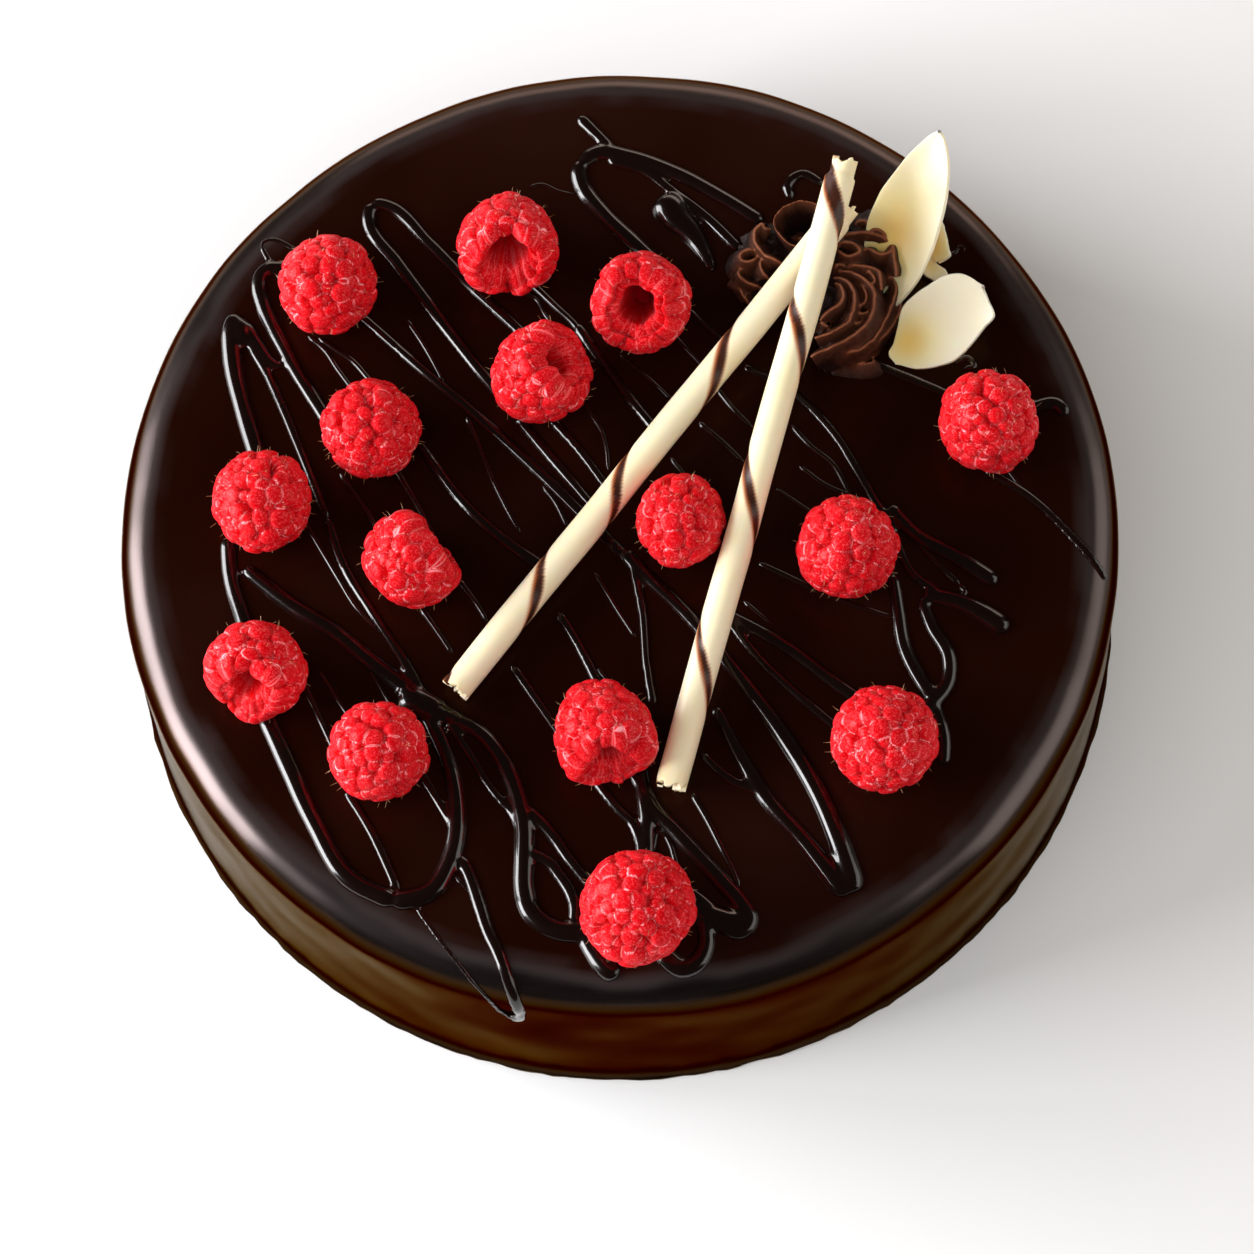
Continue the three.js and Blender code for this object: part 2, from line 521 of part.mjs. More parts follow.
// An open curl of piped cream: a flared wall that sweeps part of the way round.
function curl({ at, foot, rim, start, sweep, height }) {
  const steps = Math.round(sweep * 2.4);
  const low = CAKE_HEIGHT + GAP + 0.4;
  const points = [];
  const triangles = [];
  for (let i = 0; i <= steps; i++) {
    const angle = start + (sweep * i) / steps;
    const lift = Math.sin((i / steps) * Math.PI) * 0.25 + 0.75;
    const section = [
      [foot, 0],
      [rim, height * lift],
      [rim - CURL_WALL * 0.7, height * lift],
      [foot - CURL_WALL, 0],
    ];
    for (const [reach, up] of section) {
      points.push([at[0] + reach * Math.cos(angle), at[1] + reach * Math.sin(angle), low + up]);
    }
    if (i > 0) band(triangles, i * 4, (i - 1) * 4, 4);
  }
  const last = steps * 4;
  triangles.push([0, 1, 2], [0, 2, 3], [last, last + 2, last + 1], [last, last + 3, last + 2]);
  return solidOf(geometryOf(points, triangles));
}

// A petal: a thin cupped and bowed solid, both faces split alike. "extra" thickens it all round.
function petal({ base, tip, up, width, widest, point, cup, bow, steps }, extra = 0) {
  const start = new THREE.Vector3(base[0], base[1], base[2] + CAKE_HEIGHT);
  const end = new THREE.Vector3(tip[0], tip[1], tip[2] + CAKE_HEIGHT);
  const along = end.clone().sub(start).normalize();
  const face = new THREE.Vector3(...up);
  face.addScaledVector(along, -face.dot(along)).normalize();
  const across = new THREE.Vector3().crossVectors(face, along);
  const length = start.distanceTo(end) + extra * 2;
  const [long, wide] = steps;
  const power = Math.log(0.5) / Math.log(widest);
  const place = (u, v, offset) => {
    const half = (width / 2 + extra) * Math.max(PETAL_BLUNT, Math.sin(Math.PI * u ** power) ** point);
    const sink = cup * (v * v - 0.4) * (half / (width / 2)) - bow * Math.sin(Math.PI * u);
    return start
      .clone()
      .addScaledVector(along, length * u - extra)
      .addScaledVector(across, half * v)
      .addScaledVector(face, sink + offset)
      .toArray();
  };
  const points = [];
  const triangles = [];
  for (const side of [1, -1]) {
    for (let i = 0; i <= long; i++) {
      for (let j = 0; j <= wide; j++) {
        const v = (j / wide) * 2 - 1;
        const atEdge = i === 0 || i === long || j === 0 || j === wide;
        const thickness = PETAL_THICKNESS * (atEdge ? PETAL_EDGE : 1) + extra * 2;
        points.push(place(i / long, v, (side * thickness) / 2));
      }
    }
  }
  const row = wide + 1;
  const sheet = (long + 1) * row;
  for (let i = 0; i < long; i++) {
    for (let j = 0; j < wide; j++) {
      const [a, b, c, d] = [i * row + j, i * row + j + 1, (i + 1) * row + j + 1, (i + 1) * row + j];
      triangles.push([a, d, c], [a, c, b]);
      triangles.push([sheet + a, sheet + c, sheet + d], [sheet + a, sheet + b, sheet + c]);
    }
  }
  const border = [];
  for (let j = 0; j < wide; j++) border.push(j);
  for (let i = 0; i < long; i++) border.push(i * row + wide);
  for (let j = wide; j > 0; j--) border.push(long * row + j);
  for (let i = long; i > 0; i--) border.push(i * row);
  border.forEach((a, i) => {
    const b = border[(i + 1) % border.length];
    triangles.push([a, b, sheet + b], [a, sheet + b, sheet + a]);
  });
  return geometryOf(points, triangles);
}

// A ball a little wider than a raspberry, and a drum a little wider than a rosette.
function berryClearance({ at, radius }) {
  const ball = new THREE.IcosahedronGeometry(radius + DRIZZLE_CLEARANCE, 1);
  return solidOf(ball.translate(at[0], at[1], CAKE_HEIGHT + GAP + radius));
}

function rosetteClearance({ at, radius, wave, height }) {
  const reach = radius * (1 + wave) + DRIZZLE_CLEARANCE;
  const drum = new THREE.CylinderGeometry(reach, reach, height, 20).rotateX(Math.PI / 2);
  return solidOf(drum.translate(at[0], at[1], CAKE_HEIGHT + height / 2 - 0.1));
}

// A drum that a rosette just fits in: its neighbour is pressed flat against it.
function besideRosette({ at, radius, wave, height }) {
  const reach = radius * (1 + wave) + GAP + 0.1;
  const drum = new THREE.CylinderGeometry(reach, reach, height * 3, 24).rotateX(Math.PI / 2);
  return solidOf(drum.translate(at[0], at[1], CAKE_HEIGHT + height));
}

// The drizzle stops short of everything that lies on it.
function drizzle() {
  let all = ridge(STROKES[0]);
  for (const stroke of STROKES.slice(1)) all = all.add(ridge(stroke));
  for (const place of STICKS) all = all.subtract(stickClearance(place));
  for (const place of BERRIES) all = all.subtract(berryClearance(place));
  for (const place of ROSETTES) all = all.subtract(rosetteClearance(place));
  return all;
}

function rosette(place) {
  let cream = mound(place);
  if (place.name === "rosette_left") {
    for (const one of CURLS) cream = cream.add(curl(one));
    cream = cream.subtract(besideRosette(ROSETTES[1]));
  }
  for (const one of STICKS) cream = cream.subtract(stickClearance(one));
  for (const one of PETALS) cream = cream.subtract(solidOf(petal(one, GAP)));
  return cream;
}

const cake = new THREE.Group();
cake.add(named("cake", geometryOfSolid(cakeBody().add(drizzle())), GLAZE));
BERRIES.forEach((berry, i) => {
  cake.add(named(`raspberry_${String(i + 1).padStart(2, "0")}`, raspberry(berry, i), RASPBERRY));
});
for (const place of STICKS) cake.add(named(place.name, stick(place), WHITE_CHOCOLATE));
for (const place of ROSETTES) {
  cake.add(named(place.name, geometryOfSolid(rosette(place)), PIPED_GANACHE));
}
for (const place of PETALS) cake.add(named(place.name, petal(place), WHITE_CHOCOLATE));

export default cake;
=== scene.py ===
import math

import bpy
import numpy as np
from mathutils import Matrix, Vector, kdtree, noise


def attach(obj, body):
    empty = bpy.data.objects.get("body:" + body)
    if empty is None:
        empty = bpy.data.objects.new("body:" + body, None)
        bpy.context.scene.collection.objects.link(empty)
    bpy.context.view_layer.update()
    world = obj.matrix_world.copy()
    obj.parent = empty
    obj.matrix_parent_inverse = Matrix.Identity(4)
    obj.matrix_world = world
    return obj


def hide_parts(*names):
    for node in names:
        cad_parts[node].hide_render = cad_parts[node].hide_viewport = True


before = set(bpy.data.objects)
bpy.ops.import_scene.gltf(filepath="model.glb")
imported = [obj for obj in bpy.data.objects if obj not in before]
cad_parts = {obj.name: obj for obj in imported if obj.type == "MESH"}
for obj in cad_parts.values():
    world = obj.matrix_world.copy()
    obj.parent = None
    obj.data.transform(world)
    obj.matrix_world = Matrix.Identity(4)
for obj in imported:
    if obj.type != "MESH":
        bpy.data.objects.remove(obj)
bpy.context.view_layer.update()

# Chocolate raspberry cake. Lengths in the tables are millimetres; MM turns them into metres.
MM = 0.001

# Cake
BASE_RADIUS = 115
TOP_RADIUS = 112
CAKE_HEIGHT = 59
EDGE_ROUNDING = 8.5
FLAT_RADIUS = TOP_RADIUS - EDGE_ROUNDING
CAKE_SIDES = 288

# Raspberries: how finely their skin is divided, and how deep they sit in the glaze
BERRY_FINENESS = 7
BERRY_SINK = 0.5

# Drupelets: the radii of large, middling and small ones with the number of places tried for each, the
# radius that a size of 1 stands for, the width of one on the lip of a hollow, and how far a drupelet
# bulges and reaches under the next one for its radius
DRUPELETS = ((2.2, 70), (1.75, 300), (1.2, 900))
MIDDLING_DRUPELET = 1.6
LIP_DRUPELET = 2.2
DRUPELET_RELIEF = 0.56
DRUPELET_REACH = 1.12

# No hair stands higher than this over the cake's underside, so that the toppings keep their height
HIGHEST_HAIR = 85.8

# The glaze on the wall is seen at a slant, so it mirrors more than it shows of its own colour
WALL_COLOUR = (0.031, 0.015, 0.007, 1)
WALL_SHEEN = (0.42, 0.31, 0.18, 1)
SHOULDER_COLOUR = (0.092, 0.074, 0.072, 1)

# Sticks: their radius, how thick the rolled wall is, and how far they stray from a straight line
STICK_RADIUS = 3.45
STICK_WALL = 1.45
STICK_WAVER = 0.1

# Camera: place, how far it looks down, its roll and its lens on a 36 mm wide sensor
CAMERA_PLACE = (0.36, -326.6, 955.7)
CAMERA_DOWN = 71.44
CAMERA_ROLL = -3.21
CAMERA_LENS = 122.87
SENSOR = 36

# The white of the two soft boxes on the left
COOL_WHITE = (0.98, 0.98, 1.0)

# How much wider a thick stroke of drizzle has run out while it was warm, and how near to a berry it must
# stop to go on underneath it
RUN_OUT = 0.35
UNDER_BERRY = 6.5

# Strokes that stay left of this are one piece of drizzle, the others a second one
MIDDLE = -1

# Thick drizzle: width at each end and the route in plan, unrolled where it goes over the edge
STROKES = [
    (3.2, 3.4, [(8.4, 64.9), (0.2, 74.3), (-4.4, 82), (-5, 87.6)]),
    (3.4, 3, [(-4.6, 87), (-0.5, 89.5), (7, 88), (17.2, 83.4), (27, 77), (36.4, 69.8)]),
    (3, 1.8, [(-4.3, 99), (-1, 95), (3.2, 90.2)]),
    (2.2, 2.6, [(2, 87.4), (9.6, 84.6), (16, 79), (24, 71.5), (31, 63)]),
    (8.6, 1.6, [(14, 77.6), (16.2, 73), (20.5, 67.5), (24.8, 58.4)]),
    (3, 2.4, [(-53, 80), (-53.4, 75.5), (-47.3, 64.9), (-39.5, 52.6), (-31, 39.4), (-27, 33.5)]),
    (2.8, 2.2, [(-52.6, 80.3), (-48.6, 79), (-39.8, 69.2), (-31, 58.6), (-19.8, 46.1)]),
    (3.2, 2.8, [(-74.2, 65.2), (-76.5, 65.3), (-78.5, 63.6), (-79, 60.8), (-78.1, 56.4), (-76.2, 51.2),
                (-73.7, 45.7), (-71.2, 40.1), (-67.7, 33.5), (-64.9, 28.4), (-61, 22)]),
    (1.2, 1.2, [(-68, 67.5), (-71.3, 70.1), (-73.3, 71.5), (-75.8, 72.4), (-77.6, 71.9), (-77.8, 70.2),
                (-76.9, 68.3), (-75.8, 66.2)]),
    (5, 4, [(-84.3, 53.4), (-83.5, 50.6), (-82.6, 46.4)]),
    (3.2, 1.6, [(-82.8, 52.3), (-79.6, 46.7), (-76.1, 41.9), (-73.8, 40.7)]),
    (4.2, 3.2, [(-84.3, 54.6), (-85.4, 50.7), (-85.5, 45.3), (-85, 39.9), (-83.6, 32.7), (-80.8, 21.3),
                (-79, 14)]),
    (2, 1.6, [(-81.5, 48), (-80.4, 45), (-78.1, 40.6), (-76, 35.4), (-74.1, 30.4), (-70.5, 20), (-65, 4)]),
    (1.8, 2.4, [(-65, 4), (-61.8, -7.4), (-55.5, -19.3), (-48, -33), (-44.6, -41)]),
    (3.2, 3.4, [(-87.4, 1), (-86.8, -9.3), (-84.3, -19.3)]),
    (3.6, 4, [(-79.9, -41.8), (-75.5, -53), (-69.9, -66.8), (-63, -79.3), (-53, -85.4)]),
    (4.4, 3, [(-54, -85.4), (-45, -83), (-40.3, -75), (-38.9, -64), (-40.5, -53.6), (-45, -42)]),
    (3.2, 4, [(-84, -6.5), (-74.3, -15.5), (-64.3, -23), (-55.5, -31.1), (-47, -38.5), (-40, -43.5)]),
    (3, 4.6, [(-42, -42), (-32, -49.3), (-26.6, -59.2), (-25.2, -64.3), (-24.5, -70.4), (-24.9, -78.3),
              (-25.1, -84.2), (-24.1, -88.7), (-21, -92.3), (-16.8, -94), (-13.5, -94.2), (-6, -94)]),
    (3.4, 5.2, [(-15, -92), (-13, -94.2), (-10.8, -98.3), (-8.2, -102.3), (-5.7, -104.7)]),
    (1.6, 1.6, [(-40, -45), (-34.8, -54.3), (-32.4, -58.9), (-29.7, -63.1), (-27, -66.7), (-25.6, -70.5)]),
    (2.6, 2.2, [(-24, -66), (-20.8, -69.1), (-18.1, -72.7), (-15, -77.9), (-11.5, -83), (-8, -88)]),
    (2.4, 2.6, [(-24.2, -75.5), (-22.6, -76.4), (-19.8, -78.1), (-17.1, -81.7), (-14.9, -85.8),
                (-14.2, -89.3), (-14.8, -93)]),
    (1.8, 1.8, [(-63, -59.5), (-58.6, -67.4), (-52.4, -82.6)]),
    (1.8, 1.8, [(-45, -59), (-39.6, -69.5)]),
    (1.8, 2.8, [(-51.8, 48.1), (-43, 38.8), (-33, 28.8), (-20.4, 15.6), (-9.1, 2.5), (0.2, -8.5)]),
    (3.2, 2.6, [(0.1, -7.6), (5.9, -14.4), (12.9, -22.4), (20, -32)]),
    (2, 1.8, [(2.2, -10.5), (4, -23), (4.2, -34), (5.2, -44.3)]),
    (2.8, 4.8, [(19.2, -31), (28, -44), (34.5, -55), (40, -66), (44, -78), (46.4, -89)]),
    (2.4, 4.2, [(18.5, -45), (23, -55.5), (28.5, -66.5), (36, -76.5), (44.6, -89.6)]),
    (1.8, 1.8, [(14.8, -55.5), (21, -61.8), (27.5, -65.5)]),
    (2.6, 3, [(21.4, -23.4), (28, -27.3), (36.5, -33.2), (45, -41), (51, -46)]),
    (1.8, 2, [(22, -24), (29.8, -35.5), (36, -42.4), (46, -52.4)]),
    (3.2, 4, [(2.5, -64), (3.7, -67), (8.2, -72.8), (13.1, -79), (18, -85.2), (21.8, -90.4), (23.2, -93.8),
              (21.2, -95.9), (17.5, -94.2), (13.4, -89.9), (9, -86)]),
    (5.2, 4.6, [(16.5, -93), (19.5, -94), (23.4, -93.6)]),
    (2.6, 4.4, [(10, -88), (12.4, -91.3), (13.6, -95.3), (13.4, -99.2), (11.3, -102.5), (8.5, -103.5),
                (3, -99)]),
    (2, 2.2, [(-8.6, -60), (-7.1, -62.4), (-3.5, -67.6), (-0.8, -70.7), (0.3, -73.8), (-0.2, -84)]),
    (3.2, 3, [(2, -66), (2.3, -71), (2, -76), (1.5, -83)]),
    (3, 3.4, [(60, -0.5), (65.5, -7.5), (73.5, -12.8), (82.8, -20.2)]),
    (3, 4.6, [(66, -21.8), (73, -23.5), (79, -27), (84.2, -31.3)]),
    (1.8, 2, [(61, -8), (64, -16.5), (69, -21), (75.5, -24.6)]),
    (2.6, 3.2, [(60.4, -25), (61, -33), (63.4, -40), (67, -46.5)]),
    (2.4, 3.6, [(65.6, -22.6), (67.6, -29.5), (70.6, -36), (70, -42.5), (66.4, -47)]),
    (2, 3.2, [(66.8, -46.6), (68.2, -55), (67.6, -61.5)]),
    (2.2, 3, [(93.6, 21), (99.4, 21.6), (101.6, 18.4)]),
    (1.8, 1.8, [(83, 6.3), (91.8, -0.5), (101.8, -12.4), (107.5, -20.5)]),
    (2.2, 2.2, [(43.3, 75), (42.8, 79.2), (46, 81.3), (51, 78.2)]),
    (2, 1.8, [(57, 34.8), (66.5, 30), (74.8, 25.6)]),
    (2.8, 2.4, [(-38.5, -76), (-36.7, -80.6), (-35, -86.6), (-33.4, -92.6), (-31.2, -98.1), (-29.3, -104.6),
                (-28.5, -110.6), (-30.6, -120.5)]),
    (1, 1, [(-48.6, -86.8), (-44.3, -93.6), (-37.9, -103.1), (-35.1, -108.8), (-34.2, -116.6),
            (-31.8, -121)]),
    (2.2, 2.4, [(-30.6, -117.5), (-31.6, -121.5)]),
    (2.2, 2, [(-7.5, 47.5), (-1.6, 37.5), (5.9, 25.6), (12, 17)]),
    (1.8, 1.8, [(29.8, 35), (41.6, 26.9), (49.8, 16.3), (53.5, 8.8), (56.6, 1.9)]),
    (1.8, 2.8, [(-42.9, 18.8), (-35, 6.5), (-27, -2.5), (-17.5, -10.5)]),
    (2.4, 2, [(-21.6, 25.6), (-11, 10.6), (-4.6, 1.6)]),
    (2, 1.8, [(-14, 24.6), (-8.5, 17.5), (-2, 7)]),
    (1.8, 2.2, [(-14.8, -21), (-11.6, -27), (-7, -37.5)]),
    (1.8, 1.8, [(-25.4, -33), (-15.6, -49.5)]),
    (6.5, 4, [(-50, -37), (-45.5, -41.5), (-40, -44)]),
]

# Fine threads of drizzle: width and route in plan
THREADS = [
    (1, [(-66.8, -3), (-63, -10.5), (-59.3, -17.4), (-54.9, -23)]),
    (1, [(-68, 48.1), (-64.3, 44.4), (-61.8, 40), (-59.3, 36)]),
    (1.2, [(-61.8, 44.4), (-58, 41.3), (-54.9, 37.2)]),
    (1.2, [(-61.8, 14.4), (-58, 8.8), (-54.9, 2.5)]),
    (1, [(-56.8, -31.8), (-53, -39.3)]),
    (1.4, [(-44.8, -18.6), (-41, -24.9), (-38.5, -29.3)]),
    (1.2, [(-35.4, -13.6), (-32.3, -18.6), (-30.4, -22.4)]),
    (1.5, [(-25.4, -33), (-22.3, -38.6), (-18.5, -44.9), (-16.6, -48)]),
    (1, [(-6.6, -34.9), (-4.8, -37.4)]),
    (1, [(-6, -12.4), (-2.3, -19.9), (2.1, -28)]),
    (1.2, [(-32.9, 26.3), (-30.4, 18.8), (-27.9, 11.3), (-25.4, 5), (-22.3, -1.9)]),
    (1.3, [(-47.9, 11.9), (-44.8, 5.6), (-41.9, -0.6)]),
    (1.6, [(-11.6, 51.9), (-7.3, 46.9), (-5.4, 43.1)]),
    (1, [(-4.8, 25), (-2.9, 21.3), (-1.9, 16.3), (-1.9, 11.9)]),
    (1.2, [(-16.6, 8.8), (-14.1, 5), (-11.6, -1.3)]),
    (0.8, [(-21, 56.4), (-16, 54), (-14.4, 50.5), (-12.9, 48)]),
    (1, [(-45.4, 50.6), (-42.3, 45), (-39.1, 38.1), (-37.9, 35)]),
    (1.2, [(18.5, 49.3), (20.4, 46.9), (25.4, 41.9)]),
    (1.2, [(23.5, 30), (27.3, 24.4), (31, 20)]),
    (1.3, [(39.8, 20), (43.5, 15), (48.5, 10), (51.6, 3.1)]),
    (1.3, [(19.1, 21.9), (23.5, 17.5), (28.5, 11.9)]),
    (1.2, [(41, 10), (46, 5.6), (51.6, 2.5)]),
    (1, [(35.4, 5), (42.3, -0.6)]),
    (0.9, [(6.6, 35), (8.5, 33.1), (13.5, 27.5)]),
    (1, [(19.1, 37.5), (21, 35)]),
    (1, [(12.3, 13.8), (14.8, 10)]),
    (1.3, [(30.5, -12.4), (36.1, -15.5), (43.6, -19.9), (53, -24.3), (59.3, -26.8)]),
    (1, [(26.6, -21.1), (32.3, -26.8)]),
    (1, [(87.4, 6.3), (89.6, 2.5), (91.1, 0)]),
    (1.6, [(77.5, 32.6), (80.5, 33.8), (81.8, 31.9), (79.3, 31.3)]),
    (1.1, [(77.6, 59.4), (79.6, 59.6), (80.8, 61.2), (82, 60.4), (81.2, 59.3)]),
    (1.3, [(-69.3, -39.9), (-66.1, -48)]),
    (0.8, [(-68, -31.8), (-63, -40.5)]),
    (1, [(-39.8, -80.5), (-36.6, -84.3)]),
    (1.4, [(0.9, -60.5), (2.8, -65.5), (2.1, -68), (-0.4, -68)]),
    (1.3, [(3.5, -75.5), (4.4, -73), (5.8, -73.4), (7.1, -75.7), (7.9, -79)]),
    (1.4, [(12.5, -64.5), (15.5, -70.7), (18.4, -77.8), (20.5, -82.9), (21.4, -86)]),
    (1.4, [(61.8, -11.8), (64.9, -17.4), (68.6, -19.9), (73, -23), (75.5, -21.8), (74.3, -19.9)]),
    (1.4, [(74.3, -19.9), (71.8, -16.8), (68, -12.4), (66.1, -9.9)]),
    (0.9, [(-16.6, 81.8), (-13.5, 82.4), (-9.8, 80.5), (-6, 79.3)]),
]

# Raspberries: place in plan, widest radius, length for that radius, where the tip points, and for a berry
# that shows its hollow: the mouth's radius, how deep it goes, how far its bottom lies to one side and how
# many millimetres its upper lip is drawn up into an arch
BERRIES = [
    ((-62.4, 56), 11.2, 1.02, (0.1, -0.2, 1), None),
    ((-21.5, 63.6), 11.3, 1.0, (-0.03, 0.9, -0.43), (0.48, 0.7, 0.45, 3.2)),
    ((7.6, 47.6), 11.2, 1.0, (0.12, 0.55, -0.82), (0.42, 1.0, 0.1, 1.0)),
    ((-16, 31.4), 11.2, 0.97, (-0.76, -0.1, -0.62), (0.4, 0.75, 0.3, 1.0)),
    ((-54.3, 20.4), 11.1, 1.0, (-0.25, -0.3, 0.9), None),
    ((-78.5, 4.5), 11.3, 1.0, (0.2, -0.45, 0.85), None),
    ((-46.7, -11.1), 11.2, 0.82, (-0.8, -0.55, -0.2), (0.52, 0.4, 0, 0)),
    ((-80.6, -33.7), 11.3, 0.86, (0.3, 0.91, -0.29), (0.4, 0.6, 0.4, 2)),
    ((-54.9, -54.4), 11.1, 1.04, (0.1, -0.1, 1), None),
    ((-5.9, -52.6), 11.1, 1.0, (-0.12, 0.94, -0.2), (0.38, 0.6, 0.4, 1.5)),
    ((13.4, -5.7), 9.6, 1.16, (-0.15, -0.75, 0.6), None),
    ((49.7, -14), 11.4, 1.0, (0.1, -0.35, 0.9), None),
    ((83, 14.3), 11.2, 1.02, (-0.1, 0.1, 1), None),
    ((54.6, -58), 11.7, 1.02, (0.15, -0.25, 0.95), None),
    ((-0.4, -92), 12.5, 0.9, (0.25, 0.1, 0.95), None),
]

# A raspberry's outline from tip to base, for a widest radius of 1
UPPER_OUTLINE = [(0, 1.02), (0.42, 0.93), (0.76, 0.62), (0.95, 0.15)]
CLOSED_OUTLINE = UPPER_OUTLINE + [(0.95, -0.35), (0.78, -0.76), (0.4, -0.92), (0, -0.94)]
OUTSIDE_OUTLINE = UPPER_OUTLINE + [(0.97, -0.3), (0.9, -0.62)]

# Sticks: ends (height over the glaze), seed, and where along it, in mm, each dark stripe crosses the top
STICKS = {
    "stick_under": ((-38.5, -39.5, 3.9), (55.7, 66.8, 14.2), 11, (-5, 31.2, 58.4, 95.8, 133, 170)),
    "stick_over": ((7.5, -64.6, 3.9), (55.1, 73.8, 24), 23, (-8, 29.1, 67.3, 107, 137.5, 172)),
}

# Piped ganache: each thin fin's height over the glaze at its crest, how tall it stands, how far it leans
# out in degrees, and its crest in plan
RIGHT_FINS = [
    (11, 6, 0, [(47.2, 40.7), (49.1, 42.4), (51.1, 43.6), (52.7, 45.3), (52.9, 47.1), (52.3, 48.9),
                (51.1, 49.9)]),
    (10.8, 6, 0, [(45.8, 36.7), (48.5, 37.2), (51.2, 38.4), (53.5, 39.8), (54.7, 42.1), (55.4, 44.9),
                  (55.3, 47.5), (54.4, 49.3), (52.8, 50.6), (50.9, 51.2)]),
    (9, 5, 0, [(47, 41.2), (48.3, 40.2), (49.5, 39.7)]),
    (10.2, 7, 0, [(44.5, 32.6), (47.8, 33.7), (51.3, 35), (54.5, 36.9), (57, 38.8), (58.9, 41.5),
                  (59.8, 44.8), (59.8, 47.4), (58.7, 49.3), (56.9, 51.2), (54.8, 52.4), (52.5, 52.9)]),
    (9.3, 5, 0, [(57.2, 49.4), (57.9, 47.9), (58.1, 46.1), (57.5, 44.7), (56.3, 44.1)]),
    (8.6, 5, 0, [(54.5, 41.4), (54.8, 40.4), (55.7, 40.3), (56.9, 41.2)]),
    (8.6, 5, 0, [(55.7, 42.8), (57.1, 42.5), (58.8, 43.2)]),
    (9.8, 8, 0, [(54.4, 53.8), (56.4, 53.9), (58.5, 53.4), (60.4, 52.8), (61.4, 51.9), (61.5, 50.1),
                 (61.8, 47.5)]),
    (9.6, 5, 0, [(58.9, 52.6), (60, 51.2), (60.2, 49.9), (59.3, 49.2), (60.1, 48)]),
    (7, 6.5, -12, [(62.6, 51.8), (64.1, 51.9), (65.1, 50.4), (65.1, 48.6), (64.3, 46), (63.2, 43.2),
                   (61.5, 40.2), (59.9, 37.7), (57.9, 35.8), (55.4, 34.4), (53, 34.2), (51.8, 34.9)]),
    (4.2, 5, -22, [(66.2, 52.9), (66.6, 51.1), (66.4, 47.7), (65.4, 43.6), (63.6, 40.6), (61, 37.9),
                   (58.2, 36.2), (55.7, 34.6)]),
    (2, 5, -30, [(49.6, 35.5), (52.2, 34), (54.5, 33.6), (56.9, 33.2), (58.8, 33.6), (59.2, 34.7)]),
    (9.4, 9.5, 0, [(53.1, 60.7), (54.6, 61.6), (56.7, 61.9), (59.6, 61.8), (62, 61), (64, 59.8)]),
    (9.7, 9.5, 0, [(57.9, 57.9), (59.3, 57.9), (60.7, 56.9), (62.6, 56.3), (64.3, 56.8), (64.9, 58.1),
                   (65, 55.2), (65.3, 52.1), (65.1, 50.8)]),
    (8, 8, 0, [(56.7, 64.9), (58.2, 65.6), (59.4, 65.4), (59.9, 63.9)]),
    (11.2, 10, 0, [(52.2, 58.1), (52.9, 58.8), (54.8, 59), (56.6, 58.1), (57.3, 56.7), (55.8, 55.8),
                   (54.3, 55.6), (53.2, 56.3), (52.3, 57.8)]),
    (9.6, 9, 0, [(59.6, 61.7), (61.1, 62.4), (62.5, 62.1), (63.8, 60.4)]),
    (10.7, 8, 0, [(51.5, 52.9), (52.1, 53.9), (53.3, 53.8), (53.9, 53.2)]),
]
LEFT_FINS = [
    (9.6, 8, 8, [(38, 64.5), (36.6, 64.4), (35.9, 65.5), (34.8, 64.7), (33.9, 62.7), (34.1, 60.7), (35, 59),
                 (36.2, 57.5), (37.8, 56.6), (40, 55.5)]),
    (8.6, 7, 0, [(34.5, 59.4), (32.6, 59.7), (31.1, 59.3), (30.5, 58), (30.8, 57.2), (31.9, 56.8),
                 (33.6, 57.1), (34.4, 58.3)]),
    (8.2, 6, 0, [(36.2, 57.4), (35.2, 57), (35, 55.6), (35.4, 54.1), (36.8, 52.6)]),
    (7.2, 6.5, 14, [(30.7, 56.1), (29.9, 55.1), (30.2, 53.7), (31.2, 52.6), (33.2, 51.5), (35.2, 50.9)]),
    (3.4, 5, 20, [(30, 53.8), (30.5, 51.1), (31.9, 48.8)]),
    (9, 5, 0, [(43.4, 61.4), (44.7, 61.5), (45.2, 60.8)]),
]
CUP = (12.3, 11, 15, [(50.6, 62.5), (50.4, 65.6), (48.9, 68), (46.6, 69.1), (44.8, 69.3), (42.9, 69),
                      (40.9, 68.1), (39.4, 66.8), (38.5, 65.4), (38.4, 63.6), (39.2, 61.7), (40.4, 60),
                      (42, 58.7), (44, 58.2), (45.6, 58.6)])

# The mounds that they stand on: middle in plan, radius and height over the glaze
RIGHT_MOUNDS = [((56, 47.5), 10.4, 4.8), ((59, 55.5), 6.3, 7.4)]
LEFT_MOUNDS = [((40.2, 60), 9.5, 5)]

# How finely the two rosettes are divided once they have melted together
LEFT_FINENESS = 0.19
RIGHT_FINENESS = 0.235

